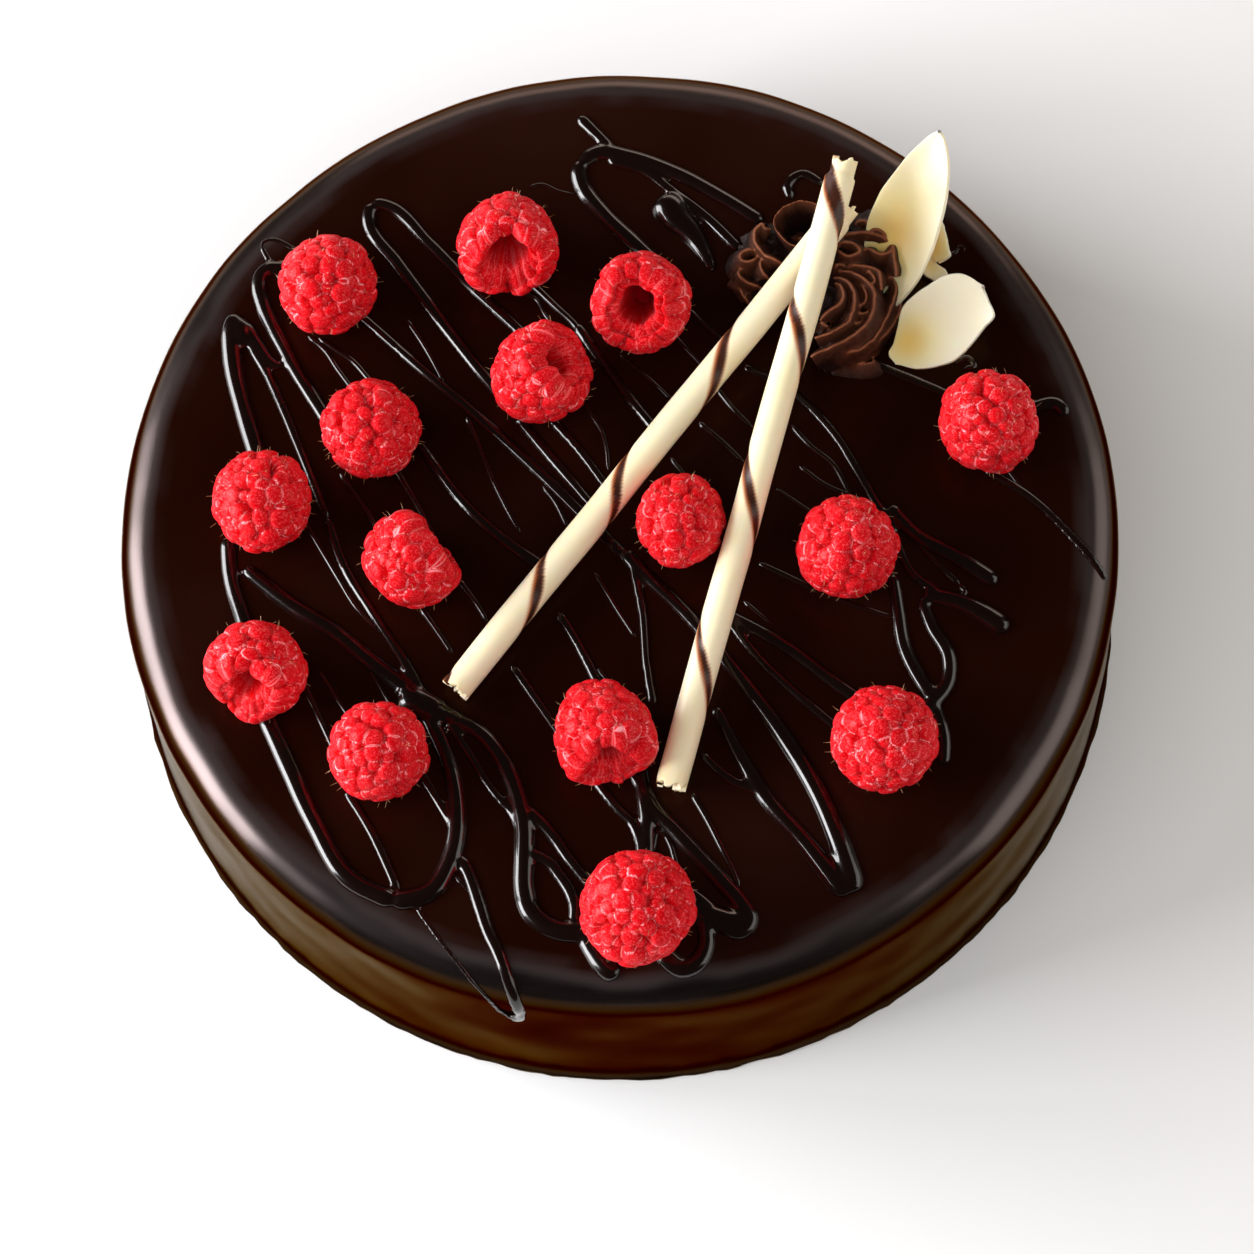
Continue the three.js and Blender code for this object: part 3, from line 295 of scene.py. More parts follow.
# Petals: base and tip (height over the glaze), the way the inside faces, how far it is cupped and bowed,
# the outline to its left and right (share of the length, millimetres across), and the golden patch of
# painted shade and warm bounce light (its middle along and across, and how far it spreads each way)
PETALS = {
    "petal_tall": (
        (61, 47.7, 3), (75.9, 78.5, 25), (-0.5, -0.3, 0.81), 2.2, 1.4,
        [(0, 4.6), (0.12, 6.3), (0.25, 7.8), (0.357, 8.7), (0.418, 8.9), (0.546, 8.57), (0.676, 7.24),
         (0.802, 5.44), (0.92, 2.9), (0.975, 1.3), (1, 0)],
        [(0, 4.4), (0.083, 6.06), (0.194, 7.68), (0.3, 8.3), (0.385, 8.51), (0.547, 8.15), (0.717, 6.92),
         (0.875, 4.47), (0.95, 2.6), (0.985, 1.3), (1, 0)],
        (0.3, 0.3, 0.36, 0.9),
    ),
    "petal_round": (
        (63.6, 32.3, 3.4), (84, 45.4, 13), (-0.26, -0.36, 0.9), 1.8, 1.2,
        [(0, 1.6), (0.008, 2.24), (0.109, 3.67), (0.224, 5.83), (0.341, 8.05), (0.427, 8.56), (0.626, 8.35),
         (0.81, 7.48), (0.929, 5.43), (0.98, 2.8), (1, 0)],
        [(0, 0.5), (0.011, 0.82), (0.11, 4.22), (0.253, 6.76), (0.409, 8.42), (0.656, 7.85), (0.8, 7.1),
         (0.925, 6.4), (0.94, 5.4), (0.953, 3.77), (0.975, 1.9), (0.985, 0.8), (1, 0)],
        (0.2, 0.2, 0.26, 0.75),
    ),
    "petal_small_1": (
        (75.2, 56.4, 3), (75.6, 66, 6), (-0.3, -0.3, 0.9), 0.3, 0.2,
        [(0, 0.3), (0.1, 1.4), (0.25, 2.3), (0.6, 2.2), (0.9, 1.2), (1, 0)],
        [(0, 0.2), (0.07, 2.5), (0.1, 2.9), (0.3, 2.6), (0.6, 2), (0.9, 1.2), (1, 0)],
        (0.3, 0.2, 0.5, 1),
    ),
    "petal_small_2": (
        (77.2, 53, 1.4), (70.6, 57.6, 3.2), (0.1, -0.2, 0.95), 0.2, 0.2,
        [(0, 0.3), (0.1, 1.5), (0.3, 2.2), (0.7, 2.2), (1, 1.4)],
        [(0, 0.3), (0.12, 1.2), (0.4, 1.5), (0.8, 1.7), (1, 1)],
        (0.8, 0, 0.5, 1),
    ),
}
PETAL_THICKNESS = 0.9


# ---- workshop helpers ----

def put_all_down():
    """Nothing is selected and no piece is active before a new one is started."""
    if bpy.context.object and bpy.context.object.mode != "OBJECT":
        bpy.ops.object.mode_set(mode="OBJECT")
    bpy.ops.object.select_all(action="DESELECT")


def pick_up(piece):
    put_all_down()
    piece.select_set(True)
    bpy.context.view_layer.objects.active = piece


def apply_all(piece):
    pick_up(piece)
    for modifier in list(piece.modifiers):
        bpy.ops.object.modifier_apply(modifier=modifier.name)


def open_mesh():
    """Starts work on all of the active piece's mesh."""
    bpy.ops.object.mode_set(mode="EDIT")
    bpy.ops.mesh.select_all(action="SELECT")


def close_mesh():
    bpy.ops.object.mode_set(mode="OBJECT")


def settle(piece):
    """The piece's place goes into its mesh, so that its object sits at the origin."""
    pick_up(piece)
    bpy.ops.object.transform_apply(location=True, rotation=True, scale=True)


def join(pieces, name):
    put_all_down()
    for piece in pieces:
        piece.select_set(True)
    bpy.context.view_layer.objects.active = pieces[0]
    bpy.ops.object.join()
    pieces[0].name = name
    pieces[0].data.name = name
    return pieces[0]


def corners(piece):
    """All of a mesh's points in millimetres."""
    points = np.empty(len(piece.data.vertices) * 3)
    piece.data.vertices.foreach_get("co", points)
    return points.reshape(-1, 3) / MM


def move_corners(piece, points):
    piece.data.vertices.foreach_set("co", (points * MM).ravel())
    piece.data.update()


def note(piece, name, values):
    """Keeps one number for each point of the mesh, for its material to read."""
    layer = piece.data.attributes.new(name, "FLOAT", "POINT")
    layer.data.foreach_set("value", np.asarray(values, dtype=np.float32))


def smooth_faces(piece, angle=None):
    pick_up(piece)
    if angle is None:
        bpy.ops.object.shade_smooth()
    else:
        bpy.ops.object.shade_smooth_by_angle(angle=math.radians(angle))


def finished(piece, finish, angle=None):
    piece.data.materials.append(finish)
    smooth_faces(piece, angle)
    return piece


def melted(piece, fineness, strength, rounds):
    """Everything in the piece run together into one skin, and softened."""
    melt = piece.modifiers.new("melt", "REMESH")
    melt.mode = "VOXEL"
    melt.voxel_size = fineness * MM
    soften = piece.modifiers.new("soften", "SMOOTH")
    soften.factor = strength
    soften.iterations = rounds
    apply_all(piece)


def thickened(piece, thickness, offset, rounding, segments, angle):
    """A sheet given its thickness, with rounded edges."""
    wall = piece.modifiers.new("wall", "SOLIDIFY")
    wall.thickness = thickness * MM
    wall.offset = offset
    round_off = piece.modifiers.new("round_off", "BEVEL")
    round_off.width = rounding * MM
    round_off.segments = segments
    round_off.limit_method = "ANGLE"
    round_off.angle_limit = math.radians(angle)
    apply_all(piece)


def shaping_tool(name, data):
    tool = bpy.data.objects.new(name, data)
    bpy.context.scene.collection.objects.link(tool)
    return tool


def put_away(tool):
    bpy.data.objects.remove(tool)


def section_tool(name, half, crown):
    """A closed cut, the same on both sides of its crown, that is swept along a route."""
    outline = half + [crown] + [(-x, y) for x, y in half[::-1]]
    section = bpy.data.curves.new(name, "CURVE")
    spline = section.splines.new("POLY")
    spline.points.add(len(outline) - 1)
    for point, (x, y) in zip(spline.points, outline):
        point.co = (x, y, 0, 1)
    spline.use_cyclic_u = True
    return shaping_tool(name, section)


def ramp(value, low, high):
    """0 up to the low value, 1 from the high one on, and a soft rise between them."""
    share = np.clip((value - low) / (high - low), 0, 1)
    return share * share * (3 - 2 * share)


def unit(vector):
    vector = np.asarray(vector, float)
    return vector / np.linalg.norm(vector)


def line_through(points, step):
    """Places every step millimetres along a smooth line through the points."""
    places = np.array(points, float)
    gaps = np.linalg.norm(np.diff(places, axis=0), axis=1)
    at = np.concatenate([[0], np.cumsum(gaps)])
    slopes = np.gradient(places, at, axis=0)
    along = np.linspace(0, at[-1], max(2, round(at[-1] / step)) + 1)
    i = np.clip(np.searchsorted(at, along, side="right") - 1, 0, len(gaps) - 1)
    gap = gaps[i][:, None]
    t = ((along - at[i]) / gaps[i])[:, None]
    ahead = (3 - 2 * t) * t * t
    return (
        (1 - ahead) * places[i]
        + ahead * places[i + 1]
        + t * (1 - t) ** 2 * gap * slopes[i]
        - t * t * (1 - t) * gap * slopes[i + 1]
    )


def glaze_height(x, y):
    over = np.clip(np.hypot(x, y) - FLAT_RADIUS, 0, EDGE_ROUNDING)
    return CAKE_HEIGHT - EDGE_ROUNDING + np.sqrt(EDGE_ROUNDING**2 - over**2)


def on_glaze(plan):
    """A route in plan laid on the glaze: past the flat top it goes over the rounding and down the wall."""
    out = np.linalg.norm(plan, axis=1)
    over = np.clip(out - FLAT_RADIUS, 0, None)
    turn = np.minimum(over / EDGE_ROUNDING, math.pi / 2)
    down = over - EDGE_ROUNDING * turn
    flare = (BASE_RADIUS - TOP_RADIUS) / (CAKE_HEIGHT - EDGE_ROUNDING)
    radius = out - over + EDGE_ROUNDING * np.sin(turn) + down * flare
    height = CAKE_HEIGHT - EDGE_ROUNDING * (1 - np.cos(turn)) - down
    return np.column_stack([plan * (radius / np.maximum(out, 1))[:, None], height])


def waviness(points, size, seed):
    """A soft uneven value from -1 to 1 at each point, with swells of the given size in millimetres."""
    shift = Vector((seed * 7.13, seed * 3.71, seed * 1.37))
    return np.array([noise.noise(Vector(point) / size + shift) for point in points])


def ripple(first, second, third):
    """A soft uneven value from -1 to 1 for each pair of numbers; the third number picks the pattern."""
    return np.array([noise.noise(Vector((a, b, third))) for a, b in zip(first, second)])


# ---- materials ----

class Finish:
    """A material with its surface shader and short ways to add nodes to it."""

    def __init__(self, name, **sockets):
        self.material = bpy.data.materials.new(name)
        self.material.use_nodes = True
        self.nodes = self.material.node_tree.nodes
        self.links = self.material.node_tree.links
        self.shader = self.nodes["Principled BSDF"]
        for socket, value in sockets.items():
            self.shader.inputs[socket.replace("_", " ")].default_value = value

    def add(self, kind, **settings):
        node = self.nodes.new(kind)
        for key, value in settings.items():
            if key[0].isupper():
                node.inputs[key.replace("_", " ")].default_value = value
            else:
                setattr(node, key, value)
        return node

    def join(self, source, target):
        self.links.new(source, target)

    def grain(self, scale, detail=3.0, roughness=0.5):
        """An uneven pattern that stays with the piece."""
        place = self.add("ShaderNodeTexCoord")
        pattern = self.add("ShaderNodeTexNoise", Scale=scale, Detail=detail, Roughness=roughness)
        self.join(place.outputs["Object"], pattern.inputs["Vector"])
        return pattern.outputs["Fac"]

    def height(self, low, high):
        """0 below the low height of the piece and 1 above the high one, both in metres."""
        place = self.add("ShaderNodeTexCoord")
        axes = self.add("ShaderNodeSeparateXYZ")
        self.join(place.outputs["Object"], axes.inputs["Vector"])
        node = self.add("ShaderNodeMapRange", From_Min=low, From_Max=high, interpolation_type="SMOOTHSTEP")
        self.join(axes.outputs["Z"], node.inputs["Value"])
        return node.outputs["Result"]

    def noted(self, name):
        return self.add("ShaderNodeAttribute", attribute_name=name).outputs["Fac"]

    def colours(self, value, *stops):
        """A run of colours along a value."""
        node = self.add("ShaderNodeValToRGB")
        band = node.color_ramp
        while len(band.elements) < len(stops):
            band.elements.new(0.5)
        for element, (place, colour) in zip(band.elements, stops):
            element.position = place
            element.color = (*colour, 1)
        self.join(value, node.inputs["Fac"])
        return node.outputs["Color"]

    def blend(self, share, first, second, kind="MIX"):
        node = self.add("ShaderNodeMix", data_type="RGBA", blend_type=kind)
        for source, socket in ((share, 0), (first, 6), (second, 7)):
            if hasattr(source, "node"):
                self.join(source, node.inputs[socket])
            else:
                node.inputs[socket].default_value = source
        return node.outputs[2]

    def span(self, value, low, high):
        """Stretches a value from 0 to 1 so that it runs from low to high."""
        node = self.add("ShaderNodeMapRange", To_Min=low, To_Max=high)
        self.join(value, node.inputs["Value"])
        return node.outputs["Result"]

    def relief(self, *layers):
        """Bumps laid one on the other: each is a value, its strength and its depth in millimetres."""
        before = None
        for value, strength, depth in layers:
            node = self.add("ShaderNodeBump", Strength=strength, Distance=depth * MM)
            self.join(value, node.inputs["Height"])
            if before:
                self.join(before, node.inputs["Normal"])
            before = node.outputs["Normal"]
        self.join(before, self.shader.inputs["Normal"])

    def colour(self, source):
        self.join(source, self.shader.inputs["Base Color"])

    def roughness(self, source):
        self.join(source, self.shader.inputs["Roughness"])


def glaze_finish():
    """Poured glaze: near-black brown and wet on top; down the wall it mirrors browner and warmer."""
    glaze = Finish("poured_glaze", IOR=1.38, Specular_Tint=WALL_SHEEN)
    above_wall = glaze.height(0.0553, 0.0572)
    shoulder = glaze.noted("shoulder")
    top = glaze.colours(
        glaze.grain(16, 2),
        (0.3, (0.0090, 0.0014, 0.0004)),
        (0.5, (0.0110, 0.0019, 0.0006)),
        (0.75, (0.0170, 0.0045, 0.0028)),
    )
    mirrored = glaze.blend(above_wall, WALL_COLOUR, SHOULDER_COLOUR)
    glaze.colour(glaze.blend(shoulder, top, mirrored))
    glaze.join(shoulder, glaze.shader.inputs["Metallic"])
    calm = glaze.span(glaze.grain(70, 4), 0.18, 0.28)
    blurred = (0.29, 0.29, 0.29, 1)
    glaze.roughness(glaze.blend(above_wall, calm, glaze.blend(shoulder, calm, blurred)))
    glaze.relief((glaze.grain(26, 1.5), 0.35, 2.5), (glaze.grain(900, 3), 0.05, 0.05))
    return glaze.material


def drizzle_finish():
    """Drizzled dark chocolate: near-black on its crown, dark red-brown where it thins out at its foot."""
    drizzle = Finish("drizzled_chocolate", IOR=1.45, Coat_Weight=0.55, Coat_Roughness=0.04)
    chocolate = drizzle.colours(
        drizzle.noted("crown"),
        (0.0, (0.0090, 0.0018, 0.0010)),
        (0.5, (0.0060, 0.0014, 0.0008)),
        (1.0, (0.0045, 0.0012, 0.0008)),
    )
    drizzle.colour(chocolate)
    drizzle.roughness(drizzle.span(drizzle.grain(220, 3), 0.15, 0.22))
    drizzle.relief((drizzle.grain(90, 2), 0.04, 0.4))
    return drizzle.material


def raspberry_finish():
    """Raspberry skin: red drupelets, each with a thin pale outline that is partly bloom and partly a painted
    rim highlight, creases painted brighter red as light glowing through them, and painted shade deep in a
    hollow.
    """
    skin = Finish(
        "raspberry_skin",
        Subsurface_Weight=0.7,
        Subsurface_Radius=(0.0035, 0.0004, 0.0004),
        Subsurface_Scale=0.7,
        Specular_IOR_Level=0.03,
        Coat_Weight=0.15,
        Coat_Roughness=0.07,
        IOR=1.4,
    )
    # Painted light: the skin is brighter red in the creases than on the drupelet tops, offsetting their
    # shade as if light glowed through them
    flesh_with_lit_creases = skin.colours(
        skin.noted("edge"),
        (0.0, (0.66, 0.0036, 0.0090)),
        (0.5, (0.68, 0.0020, 0.0060)),
        (0.85, (0.88, 0.0008, 0.0025)),
        (1.0, (0.80, 0.0004, 0.0010)),
    )
    tone = skin.colours(skin.noted("tone"), (0.0, (0.88, 0.60, 0.66)), (1.0, (1.0, 1.0, 1.0)))
    toned = skin.blend(1.0, flesh_with_lit_creases, tone, "MULTIPLY")
    pale_dots = (0.90, 0.110, 0.130, 1)
    # Pale outline colour: partly the skin's bloom, partly a painted rim highlight
    pale_bloom_and_rim_light = (0.97, 0.38, 0.41, 1)
    # Painted shade for the inside of a hollow
    painted_hollow_shade = (0.36, 0.0010, 0.0030, 1)
    speckle = skin.colours(skin.grain(2300, 3, 0.6), (0.51, (0, 0, 0)), (0.61, (0.5, 0.5, 0.5)))
    specked = skin.blend(speckle, toned, pale_dots)
    outlined = skin.blend(skin.noted("outline"), specked, pale_bloom_and_rim_light)
    skin.colour(skin.blend(skin.noted("hollow"), outlined, painted_hollow_shade))
    skin.roughness(skin.span(skin.grain(420, 3), 0.3, 0.45))
    skin.relief((skin.grain(1300, 4), 0.3, 0.1))
    return skin.material


def hair_finish():
    hair = Finish("golden_hair", Roughness=0.5)
    hair.colour(hair.colours(hair.grain(500), (0.4, (0.34, 0.15, 0.05)), (0.65, (0.74, 0.50, 0.27))))
    return hair.material


def stick_finish():
    """Rolled white chocolate with a dark chocolate spiral, which thins to amber along one edge."""
    stick = Finish(
        "rolled_white_chocolate",
        Subsurface_Weight=0.35,
        Subsurface_Radius=(0.0045, 0.0030, 0.0012),
        Subsurface_Scale=0.5,
        Specular_IOR_Level=0.5,
        IOR=1.45,
    )
    cream = stick.colours(stick.grain(60, 3), (0.3, (0.98, 0.82, 0.52)), (0.7, (0.98, 0.87, 0.64)))
    stripe = stick.noted("stripe")
    dark = stick.colours(stick.grain(260, 3), (0.35, (0.030, 0.0075, 0.0035)), (0.7, (0.060, 0.016, 0.008)))
    amber = (0.42, 0.105, 0.018, 1)
    edged = stick.blend(stick.noted("amber"), cream, amber)
    stick.colour(stick.blend(stripe, edged, dark))
    stick.roughness(stick.span(stick.grain(320, 3), 0.3, 0.46))
    stick.relief((stick.grain(140, 3), 0.25, 0.25), (stick.grain(1500, 3), 0.1, 0.05))
    return stick.material


def petal_finish():
    """Moulded white chocolate: cream, with painted shade and warm bounce light making it more golden towards
    its base and down its middle.
    """
    petal = Finish(
        "moulded_white_chocolate",
        Subsurface_Weight=0.8,
        Subsurface_Radius=(0.0045, 0.0034, 0.0024),
        Subsurface_Scale=0.6,
        IOR=1.45,
    )
    # Painted shade and bounce light: the golden patch turns the cream golden where it lies
    warm = petal.colours(
        petal.noted("painted_golden_shade"),
        (0.0, (0.96, 0.82, 0.64)),
        (0.5, (1.0, 0.76, 0.43)),
        (1.0, (1.0, 0.61, 0.20)),
    )
    mottle = petal.colours(petal.grain(55, 3), (0.35, (0.96, 0.94, 0.9)), (0.65, (1.0, 1.0, 1.0)))
    petal.colour(petal.blend(1.0, warm, mottle, "MULTIPLY"))
    petal.roughness(petal.span(petal.grain(300, 3), 0.3, 0.45))
    petal.relief((petal.grain(120, 2), 0.2, 0.3), (petal.grain(1400, 3), 0.08, 0.05))
    return petal.material


def ganache_finish():
    """Piped ganache: brown, with a painted highlight on the thin crests of the fins and painted shade
    darkening it away from them down into the valleys.
    """
    ganache = Finish("piped_ganache", Specular_IOR_Level=0.3, IOR=1.45)
    # Painted light: pale and reddish at the crests as a painted highlight, darker away from them as painted
    # shade in the valleys
    body = ganache.colours(
        ganache.noted("crest"),
        (0.0, (0.012, 0.0032, 0.0018)),
        (0.6, (0.055, 0.0160, 0.0075)),
        (0.93, (0.095, 0.0280, 0.0125)),
        (1.0, (0.290, 0.0960, 0.0430)),
    )
    mottle = ganache.colours(ganache.grain(700, 4), (0.35, (0.72, 0.68, 0.66)), (0.7, (1.0, 1.0, 1.0)))
    ganache.colour(ganache.blend(1.0, body, mottle, "MULTIPLY"))
    ganache.roughness(ganache.span(ganache.grain(500, 3), 0.48, 0.62))
    ganache.relief((ganache.grain(420, 4), 0.7, 0.4), (ganache.grain(1800, 3), 0.35, 0.1))
    return ganache.material


def floor_finish():
    floor = Finish("pale_floor", Roughness=0.85, Specular_IOR_Level=0.2)
    floor.colour(floor.colours(floor.grain(3, 2), (0.3, (0.90, 0.90, 0.90)), (0.7, (0.92, 0.92, 0.92))))
    return floor.material


# ---- the cake ----

def glazed_cake(finish):
    """A round slab: each extrusion of the top face makes the next ring of the foot, wall or rounding."""
    bottom, bulge, pinch, wall_foot = (BASE_RADIUS - less for less in (0.6, 0.5, 1.1, 1.6))
    wall_low, wall_high = 2.8, CAKE_HEIGHT - EDGE_ROUNDING
    rings = [(bottom, 0.5), (bulge, 1.1), (pinch, 1.8), (wall_foot, wall_low)]
    for share in np.linspace(0, 1, 17)[1:]:
        radius = wall_foot + (TOP_RADIUS - wall_foot) * share
        rings.append((radius, wall_low + (wall_high - wall_low) * share))
    for angle in np.linspace(0, math.pi / 2, 13)[1:]:
        radius = FLAT_RADIUS + EDGE_ROUNDING * math.cos(angle)
        rings.append((radius, wall_high + EDGE_ROUNDING * math.sin(angle)))
    put_all_down()
    bpy.ops.mesh.primitive_circle_add(vertices=CAKE_SIDES, radius=bottom * MM, fill_type="NGON")
    cake = bpy.context.object
    open_mesh()
    radius, height = bottom, 0.0
    for next_radius, next_height in rings:
        rise = (next_height - height) * MM
        bpy.ops.mesh.extrude_region_move(TRANSFORM_OT_translate={"value": (0, 0, rise)})
        share = next_radius / radius
        bpy.ops.transform.resize(value=(share, share, 1))
        radius, height = next_radius, next_height
    ring_width = 3
    while radius > 5:
        bpy.ops.mesh.inset(thickness=ring_width * MM)
        radius -= ring_width
    bpy.ops.mesh.select_all(action="SELECT")
    bpy.ops.mesh.normals_make_consistent(inside=False)
    close_mesh()
    points = corners(cake)
    around = np.hypot(points[:, 0], points[:, 1])
    edge = around + 1.6 * waviness(points, 22, 6) + 0.8 * waviness(points, 7, 7)
    height = points[:, 2]
    note(cake, "shoulder", np.where(height < 52, 1, ramp(edge, FLAT_RADIUS - 1, FLAT_RADIUS + 4.2)))
    outward = points[:, :2] / np.maximum(around, 1)[:, None]
    wall_sway = (0.55 * waviness(points, 38, 1) + 0.28 * waviness(points, 13, 2)) * ramp(height, 1.5, 24)
    sway = np.where(height < 2, 0.45 * waviness(points, 4.5, 3), wall_sway)
    points[:, :2] += outward * (sway * ramp(around, 60, 108))[:, None]
    dip = 0.5 * waviness(points, 30, 4) + 0.12 * waviness(points, 11, 5)
    points[:, 2] += np.where(height > 45, dip * ramp(around, 84, 110) + 0.05 * dip, 0)
    move_corners(cake, points)
    cake.name = "glazed_cake"
    return finished(cake, finish, 40)


def drizzle_section():
    """The cut through a stroke 1 wide: a round crown, and a foot that spreads out into the glaze."""
    half = [(0.60, -0.14), (0.54, 0.0), (0.46, 0.15), (0.35, 0.27), (0.19, 0.35)]
    return section_tool("drizzle_section", half, (0.0, 0.38))


def poured_lines(name, lines, section):
    """Lines of chocolate swept along their routes, as one mesh. Each is (widths, tilts, places)."""
    curve = bpy.data.curves.new(name, "CURVE")
    curve.dimensions = "3D"
    curve.twist_mode = "Z_UP"
    curve.bevel_mode = "OBJECT"
    curve.bevel_object = section
    curve.use_fill_caps = True
    for widths, tilts, places in lines:
        spline = curve.splines.new("POLY")
        spline.points.add(len(places) - 1)
        for point, width, tilt, place in zip(spline.points, widths, tilts, places):
            point.co = (*[value * MM for value in place], 1)
            point.radius = width * MM
            point.tilt = tilt
    piece = shaping_tool(name, curve)
    pick_up(piece)
    bpy.ops.object.convert(target="MESH")
    return bpy.context.object


def drizzle_line(first, last, route, spread=0.0, step=0.8):
    """A stroke's places on the glaze, with widths that narrow at both ends into round tips."""
    plan = line_through(route, step)
    share = np.linspace(0, 1, len(plan))
    length = step * (len(plan) - 1)
    widths = first + (last - first) * share + spread
    tip = 0.35
    for end in (share, 1 - share):
        near = np.clip(end * length / (widths * 0.75), 0, 1)
        widths = widths * (tip + (1 - tip) * np.sqrt(1 - (1 - near) ** 2))
    swell = 1 + 0.07 * ripple(plan[:, 0] / 9, plan[:, 1] / 9, 3.3)
    return widths * swell, np.zeros(len(plan)), on_glaze(plan)


def run_under(route):
    """A stroke that stops just short of a berry goes on underneath it."""
    ends = []
    for end, before in ((route[0], route[1]), (route[-1], route[-2])):
        end = np.array(end, float)
        heading = unit(end - before)
        extra = []
        for at, radius, *_ in BERRIES:
            gap = np.array(at) - end
            reach = np.linalg.norm(gap)
            stops_short = 0.7 * radius < reach < radius + UNDER_BERRY
            heads_for_it = gap @ heading > 0.6 * reach
            if stops_short and heads_for_it:
                extra = [tuple(end + heading * (reach - 0.6 * radius))]
        ends.append(extra)
    return ends[0] + list(route) + ends[1]


def crown_note(piece):
    """How far up a line's crown each point lies, for the drizzle's colour."""
    points = corners(piece)
    note(piece, "crown", ramp(points[:, 2] - glaze_height(points[:, 0], points[:, 1]), 0.05, 1.0))


def thick_drizzle(name, strokes, section, finish):
    """Thick strokes, melted into each other where they cross."""
    lines = [drizzle_line(first, last, run_under(route), RUN_OUT) for first, last, route in strokes]
    piece = poured_lines(name, lines, section)
    melted(piece, 0.45, 0.6, 9)
    crown_note(piece)
    return finished(piece, finish)


def fine_drizzle(section, finish):
    lines = [drizzle_line(width, width * 0.8, run_under(route)) for width, route in THREADS]
    piece = poured_lines("drizzle_threads", lines, section)
    crown_note(piece)
    return finished(piece, finish, 50)


# ---- raspberries ----

def tilted_to(direction):
    """The turn that leans the upright to this direction."""
    return np.array(Vector((0, 0, 1)).rotation_difference(Vector(direction)).to_matrix())


def berry_profile(length, mouth):
    """The berry's outline as closely spaced places, with its tangents and how far along each lies."""
    if mouth:
        wide, deep, _, _ = mouth
        lip = [(wide + 0.17, -0.84), (wide, -0.74)]
        wall = [(wide * narrowed, -0.62 + deep * share) for narrowed, share in ((0.82, 0.3), (0.5, 0.75))]
        points = OUTSIDE_OUTLINE + lip + wall + [(0, -0.62 + deep)]
    else:
        points = CLOSED_OUTLINE
    places = line_through([(x, y * length) for x, y in points], 0.01)
    gaps = np.linalg.norm(np.diff(places, axis=0), axis=1)
    along = np.concatenate([[0], np.cumsum(gaps)])
    return places, np.gradient(places, along, axis=0), along


def profile_at(profile, distance):
    """How far across and up the outline has come after that distance, and its direction there."""
    places, tangents, along = profile
    at = [np.interp(distance, along, column) for column in (*places.T, *tangents.T)]
    size = np.maximum(np.hypot(at[2], at[3]), 1e-6)
    return at[0], at[1], at[2] / size, at[3] / size


def rim_distance(profile):
    """How far along the outline the lip of the hollow lies."""
    places, _, along = profile
    return along[np.argmin(places[:, 1])]


def spun(profile, distance, turn):
    """Place, outward direction and downhill direction on the berry's smooth surface."""
    across, up, run, rise = profile_at(profile, distance)
    cos, sin = np.cos(turn), np.sin(turn)
    place = np.column_stack([across * cos, across * sin, up])
    outward = np.column_stack([-rise * cos, -rise * sin, run])
    downhill = np.column_stack([run * cos, run * sin, rise])
    return place, outward, downhill


def drupelet_seeds(profile, mouth, radius, draw):
    """The middle of each drupelet (distance, turn, stretch, size, tone): large ones first, small ones in the
    gaps, and long ones side by side over the lip of a hollow and down its wall."""
    places, _, along = profile
    rim = rim_distance(profile)
    last = rim - 0.5 if mouth else along[-1]
    area = np.cumsum(places[:, 0] * (along < last))
    seeds, middles, sizes = [], np.empty((0, 3)), np.empty(0)
    for size, tries in DRUPELETS:
        for _ in range(tries):
            distance = np.interp(draw.random() * area[-1], area, along)
            turn = draw.random() * 2 * math.pi
            across, up, _, _ = profile_at(profile, distance)
            middle = np.array([across * math.cos(turn), across * math.sin(turn), up]) * radius
            own = size * draw.uniform(0.9, 1.1)
            apart = np.linalg.norm(middles - middle, axis=1)
            if (apart < 0.8 * (sizes + own)).any():
                continue
            middles, sizes = np.vstack([middles, middle]), np.append(sizes, own)
            seeds.append((distance, turn, 1.0, own / MIDDLING_DRUPELET, draw.random()))
    if mouth:
        count = round(2 * math.pi * (mouth[0] + 0.15) * radius / LIP_DRUPELET)
        on_lip, on_wall = 0.32, 0.25
        for i in range(count):
            turn = (i + draw.uniform(-0.3, 0.3)) / count * 2 * math.pi
            distance = rim - draw.uniform(0.15, 0.32)
            seeds.append((distance, turn, on_lip, draw.uniform(0.8, 1.05), draw.random()))
            turn += draw.uniform(-0.1, 0.1)
            seeds.append((rim + 0.6, turn, on_wall, draw.uniform(0.62, 0.82), draw.random()))
    return np.array(seeds)


def drupelet_domes(place, radius, seeds, seed_place, seed_downhill):
    """Drupelets as domes that overlap, in millimetres: the height of the highest dome at each point, how far
    it stands over the next one, and which drupelet it is."""
    highest = np.full(len(place), -np.inf)
    second = np.full(len(place), -np.inf)
    owner = np.zeros(len(place), int)
    for i, (_, _, stretch, size, tone) in enumerate(seeds):
        own = size * MIDDLING_DRUPELET
        apart = (place - seed_place[i]) * radius
        squared = (apart**2).sum(1) - (1 - stretch**2) * (apart @ seed_downhill[i]) ** 2
        share = squared / (DRUPELET_REACH * own) ** 2
        crown = np.sqrt(np.maximum(1 - share**2, 0.19))
        skirt = 0.436 - 2.065 * (share - 0.9)
        dome = np.where(share < 0.9, crown, skirt)
        height = own * DRUPELET_RELIEF * dome + 0.2 * (tone - 0.5)
        higher = height > highest
        second = np.where(higher, highest, np.maximum(second, height))
        owner = np.where(higher, i, owner)
        highest = np.where(higher, height, highest)
    return highest, highest - second, owner


